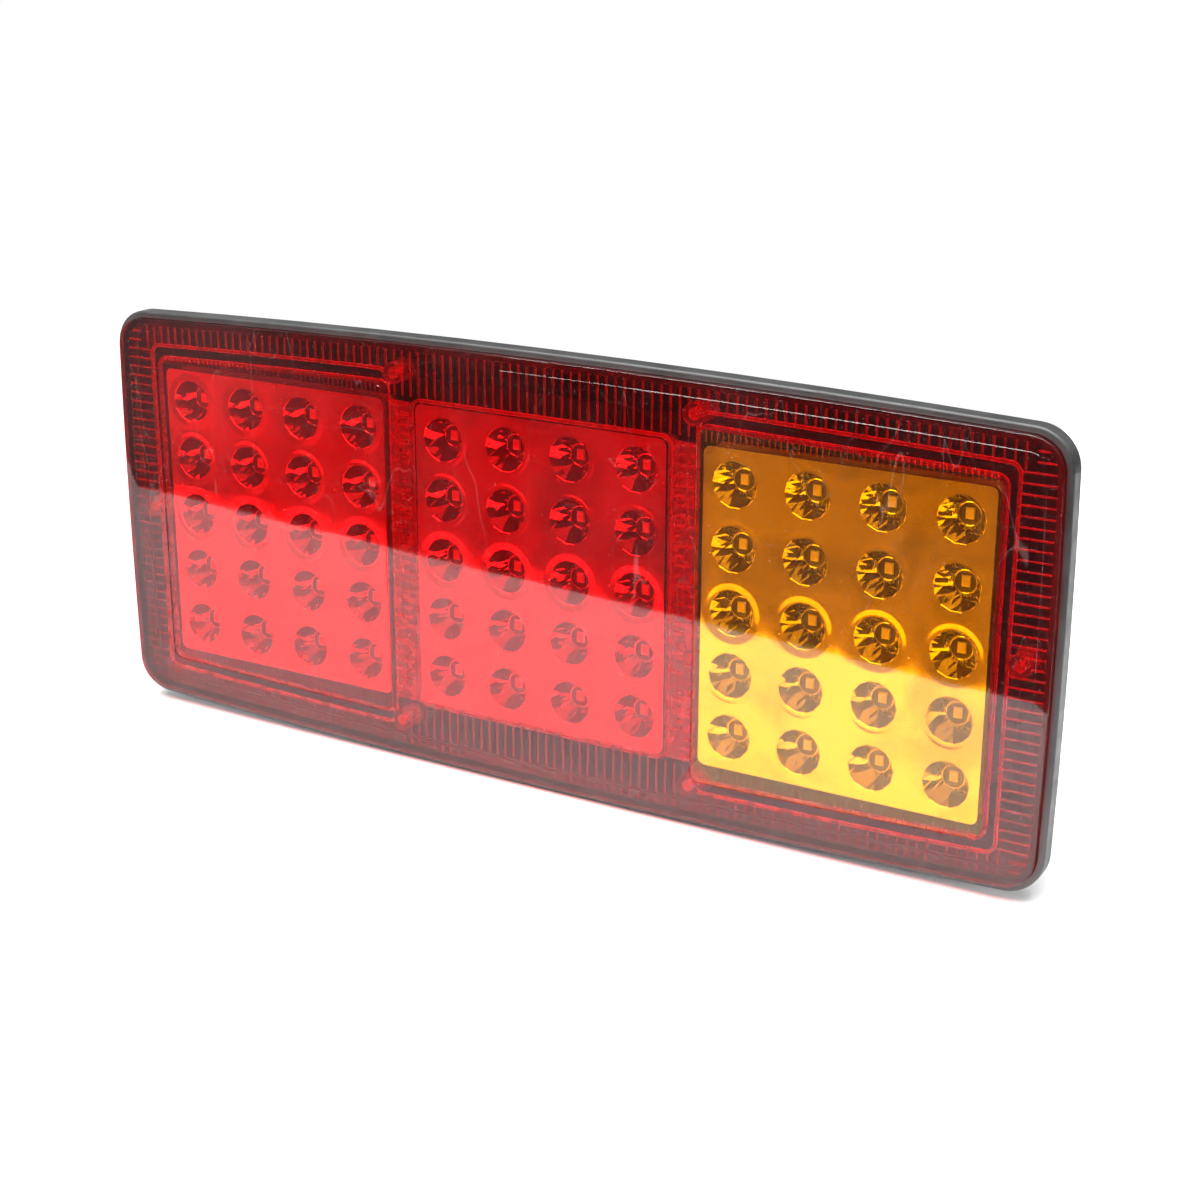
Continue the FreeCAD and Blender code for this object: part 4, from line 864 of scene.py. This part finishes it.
def chrome_finish(name, polish, haze_share, bright, dull, ripple_depth):
    """Metallised plastic: a mirror with a soft haze, faint ripples, smudges and a few dull spots."""
    material, tree = new_material(name)
    ripple = bump(tree, noise(tree, 55.0, 2.0), ripple_depth, 0.6)
    cloud_swing = 0.04
    haze_rough = 0.55
    cloud = ramp(tree, noise(tree, 30.0, 3.0), *USUAL, polish, polish + cloud_swing)
    spots = ramp(tree, noise(tree, 420.0, 2.0), 0.70, 0.76, 0.0, 0.25)
    rough = math_node(tree, "ADD", cloud, spots)
    smudge = ramp(tree, noise(tree, 30.0, 4.0, distortion=0.6), 0.50, 0.68)
    tone = blend(tree, smudge, colour(bright, bright, bright), colour(dull, dull, dull))
    mirror = add(tree, "ShaderNodeBsdfPrincipled",
                 {"Base Color": tone, "Metallic": 1.0, "Roughness": rough, "Normal": ripple}).outputs[0]
    haze = add(tree, "ShaderNodeBsdfPrincipled",
               {"Base Color": tone, "Metallic": 1.0, "Roughness": haze_rough}).outputs[0]
    finish_with(tree, mix_shaders(tree, haze_share, mirror, haze))
    return material


RED_TINT = colour(0.99, 0.26, 0.28)
RED_LIT = colour(0.80, 0.012, 0.022)
AMBER_TINT = colour(0.99, 0.745, 0.10)
AMBER_LIT = colour(0.80, 0.24, 0.01)

RED_DUST = colour(0.75, 0.45, 0.45)
AMBER_DUST = colour(0.8, 0.7, 0.5)

clear_red = clear_plastic("clear_red_plastic", RED_TINT, RED_DUST, RED_LIT, scatter=0.05)
matt_red = clear_plastic("inner_red_plastic", RED_TINT, RED_DUST, RED_LIT, scatter=0.04, gloss=0.15)
clear_amber = clear_plastic("clear_amber_plastic", AMBER_TINT, AMBER_DUST, AMBER_LIT, scatter=0.03)
flute_red = ridge_plastic("fluted_red_plastic", RED_TINT, RED_LIT, share=0.26, gloss=0.05)
flute_amber = ridge_plastic("fluted_amber_plastic", AMBER_TINT, AMBER_LIT, share=0.30, gloss=0.05)
rib_red = ridge_plastic("ribbed_red_plastic", RED_TINT, RED_LIT, share=0.42, gloss=0.03)
# the webs' glow is painted light, standing in for the lit parts behind the strips
web_red_painted_glow = ridge_plastic("red_web_painted_glow", RED_TINT, RED_LIT, share=0.36, gloss=0.03)
plate_chrome = chrome_finish("metallised_plate", polish=0.06, haze_share=0.22, bright=0.96, dull=0.62,
                             ripple_depth=0.00010)
# The cups use the plate's metallised finish painted darker (0.55 and 0.42 against 0.96 and 0.62): painted
# shade in the cups' reflections.
cup_chrome_painted_dark = chrome_finish("metallised_cup_painted_dark", polish=0.01, haze_share=0.07, bright=0.55, dull=0.42,
                           ripple_depth=0.00002)
resin = solid_finish("led_resin", colour(0.92, 0.88, 0.74), colour(0.86, 0.80, 0.62),
                     0.16, 900.0, 0.000004, patch=500.0, spread=0.06)

black_plastic = solid_finish("black_moulded_plastic", colour(0.020, 0.021, 0.021),
                             colour(0.032, 0.033, 0.033), 0.42, 1400.0, 0.00003, scratch=0.25, spread=0.16)
# The boards are a flat dark grey.
board_finish = solid_finish("board_dark_grey", colour(0.13, 0.13, 0.11), colour(0.10, 0.10, 0.085),
                            0.38, 900.0, 0.00001)
led_white = solid_finish("led_package_plastic", colour(0.92, 0.91, 0.88), colour(0.86, 0.85, 0.80),
                         0.35, 1800.0, 0.000004, patch=400.0)
component_black = solid_finish("component_black", colour(0.016, 0.016, 0.018), colour(0.035, 0.035, 0.038),
                               0.45, 2500.0, 0.000008, patch=300.0)
connector_white = solid_finish("connector_nylon", colour(0.74, 0.73, 0.68), colour(0.64, 0.62, 0.55),
                               0.40, 900.0, 0.00001, patch=120.0)
terminal_green = solid_finish("terminal_green_plastic", colour(0.03, 0.22, 0.09), colour(0.02, 0.16, 0.06),
                              0.36, 900.0, 0.00001, patch=150.0)
lead_red = solid_finish("lead_insulation", colour(0.48, 0.02, 0.02), colour(0.34, 0.012, 0.012),
                        0.35, 700.0, 0.00001, patch=150.0)
zinc = solid_finish("zinc_plated_steel", colour(0.62, 0.63, 0.62), colour(0.50, 0.51, 0.52),
                    0.28, 1500.0, 0.00001, metallic=1.0, patch=200.0, scratch=0.3)
brass = solid_finish("tinned_brass", colour(0.70, 0.60, 0.38), colour(0.55, 0.45, 0.26),
                     0.3, 1500.0, 0.00001, metallic=1.0, patch=300.0)
rubber = solid_finish("black_rubber", colour(0.028, 0.028, 0.028), colour(0.045, 0.044, 0.043),
                      0.72, 900.0, 0.00004, patch=120.0, scratch=0.1)
vent_plastic = solid_finish("vent_plastic", colour(0.10, 0.10, 0.105), colour(0.14, 0.14, 0.145),
                            0.5, 1200.0, 0.00002, patch=200.0)

FINISHES = {
    "rear_housing": black_plastic, "lens_seal": rubber, "screw_seals": rubber, "stud_seals": rubber,
    "cable_grommet": rubber, "breather_vent": vent_plastic, "protection_diodes": component_black,
    "board_screws": zinc, "lens_screws": zinc, "stud_washers": zinc, "push_nuts": zinc,
    "mounting_stud_left": zinc, "mounting_stud_right": zinc, "wire_connectors": connector_white,
    "terminal_block": terminal_green, "terminal_screws": brass,
    "jumper_lead_left": lead_red, "jumper_lead_right": lead_red,
}
for chamber in CHAMBERS:
    FINISHES["circuit_board_" + chamber] = board_finish
    FINISHES["resistors_" + chamber] = component_black


def paint(piece, *materials):
    """Fills a CAD node's or a piece's material slots, and keeps which face uses which."""
    slots = piece.data.materials
    while len(slots) < len(materials):
        slots.append(None)
    for i in range(len(slots)):
        slots[i] = materials[min(i, len(materials) - 1)]


# ---------------------------------------------------------------- pieces

for node, finish in FINISHES.items():
    paint(NODES[node], finish)


lens = build_lens()
paint(lens, clear_red, flute_red, rib_red, web_red_painted_glow, matt_red)
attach(lens, "root")
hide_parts("lens_red")

for name, side, node, materials, slot in (
        ("amber_window", 1, "lens_window_amber", (clear_amber, flute_amber), "lens_amber"),
        ("red_window", -1, "lens_window_red", (clear_red, flute_red), "lens_red")):
    window = build_window(name, side)
    paint(window, *materials)
    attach(window, "root")
    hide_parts(node)

for chamber in CHAMBERS:
    plate = build_reflector(chamber)
    paint(plate, plate_chrome, cup_chrome_painted_dark)
    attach(plate, "root")
    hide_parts("reflector_" + chamber)
    leds = build_leds(chamber)
    paint(leds, led_white, resin)
    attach(leds, "root")
    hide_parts("leds_" + chamber)


# ---------------------------------------------------------------- studio

FLOOR = cad_box[0].z
TABLE_FRONT = -0.218     # metres: the table ends here, in front of the lamp
TABLE_SLANT = 0.116      # its front edge isn't quite square to the lamp
TABLE_BACK = 0.55
TABLE_SIDE = 0.75
TABLE_GAP = 0.0004       # keeps the table top just under the lamp
SHEET_EDGE = (-0.59, -0.65)      # the pale sheet starts and is complete this far to the left
SHEET_FOOT = (-0.27, -0.22)      # and this far up
ROOM_RISE = (-0.02, 0.25)        # between these heights the room goes from dark to dim


def build_table():
    """A pale table top that ends in front of the lamp, so that the lens's upper half mirrors the room."""
    mesh = bmesh.new()
    slant = TABLE_SLANT * TABLE_SIDE
    corners = ((-TABLE_SIDE, TABLE_FRONT - slant), (TABLE_SIDE, TABLE_FRONT + slant),
               (TABLE_SIDE, TABLE_BACK), (-TABLE_SIDE, TABLE_BACK))
    mesh.faces.new([mesh.verts.new((x, y, FLOOR - TABLE_GAP)) for x, y in corners])
    table = to_object(mesh, "table_top")
    paint(table, solid_finish("white_table", colour(0.90, 0.90, 0.90), colour(0.86, 0.86, 0.86),
                              0.6, 200.0, 0.0001, patch=6.0))


def area_light(name, place, target, size, radiance):
    """A rectangular soft light. radiance is how bright its face looks."""
    data = bpy.data.lights.new(name, "AREA")
    data.shape = "RECTANGLE"
    data.size, data.size_y = size
    data.energy = radiance * math.pi * size[0] * size[1]
    lamp = bpy.data.objects.new(name, data)
    bpy.context.scene.collection.objects.link(lamp)
    lamp.location = place
    lamp.rotation_euler = (Vector(target) - Vector(place)).to_track_quat("-Z", "Y").to_euler()


def build_world():
    """White behind the object for the camera, and a dim room with a pale sheet at its left for the rest."""
    world = bpy.data.worlds.new("studio")
    world.use_nodes = True
    tree = world.node_tree
    tree.nodes.clear()
    way = add(tree, "ShaderNodeTexCoord").outputs["Generated"]
    split = add(tree, "ShaderNodeSeparateXYZ", {"Vector": way}).outputs
    height = split["Z"]
    left = ramp(tree, split["X"], *SHEET_EDGE)
    raised = ramp(tree, height, *SHEET_FOOT)
    sheet = math_node(tree, "MULTIPLY", left, raised)
    room = blend(tree, ramp(tree, height, *ROOM_RISE), colour(0.07, 0.07, 0.07), colour(0.20, 0.20, 0.20))
    room = blend(tree, sheet, room, colour(0.55, 0.53, 0.52))
    dim = add(tree, "ShaderNodeBackground", {"Color": room, "Strength": 1.0}).outputs[0]
    white = add(tree, "ShaderNodeBackground", {"Color": colour(1, 1, 1), "Strength": 1.0}).outputs[0]
    seen = add(tree, "ShaderNodeLightPath").outputs["Is Camera Ray"]
    shown = mix_shaders(tree, seen, dim, white)
    add(tree, "ShaderNodeOutputWorld", {"Surface": shown})
    bpy.context.scene.world = world


CAMERA_PLACE = (0.3439, -0.5867, 0.2103)
CAMERA_AZIMUTH = math.radians(30.145)
CAMERA_ELEVATION = math.radians(18.554)
CAMERA_ROLL = math.radians(0.23)
CAMERA_LENS = 62.42
CAMERA_NEAR = 0.01


def build_camera():
    data = bpy.data.cameras.new("camera")
    data.lens = CAMERA_LENS
    data.clip_start = CAMERA_NEAR
    camera = bpy.data.objects.new("camera", data)
    bpy.context.scene.collection.objects.link(camera)
    level = math.cos(CAMERA_ELEVATION)
    view = Vector((-math.sin(CAMERA_AZIMUTH) * level, math.cos(CAMERA_AZIMUTH) * level,
                   -math.sin(CAMERA_ELEVATION)))
    camera.location = CAMERA_PLACE
    camera.rotation_euler = view.to_track_quat("-Z", "Y").to_euler()
    camera.rotation_euler.rotate_axis("Z", CAMERA_ROLL)
    bpy.context.scene.camera = camera


build_table()
build_world()
area_light("overhead_soft", (0.0, -0.40, 1.05), (0.0, -0.05, 0.0), size=(1.4, 1.1), radiance=11.0)
area_light("front_soft", (-0.35, -1.2, 0.50), (0.0, 0.0, 0.0), size=(0.5, 0.5), radiance=13.0)
area_light("right_back_soft", (0.8, 0.6, 0.7), (0.1, 0.1, 0.0), size=(0.6, 0.6), radiance=4.0)
build_camera()

bpy.context.scene.view_settings.view_transform = "Standard"
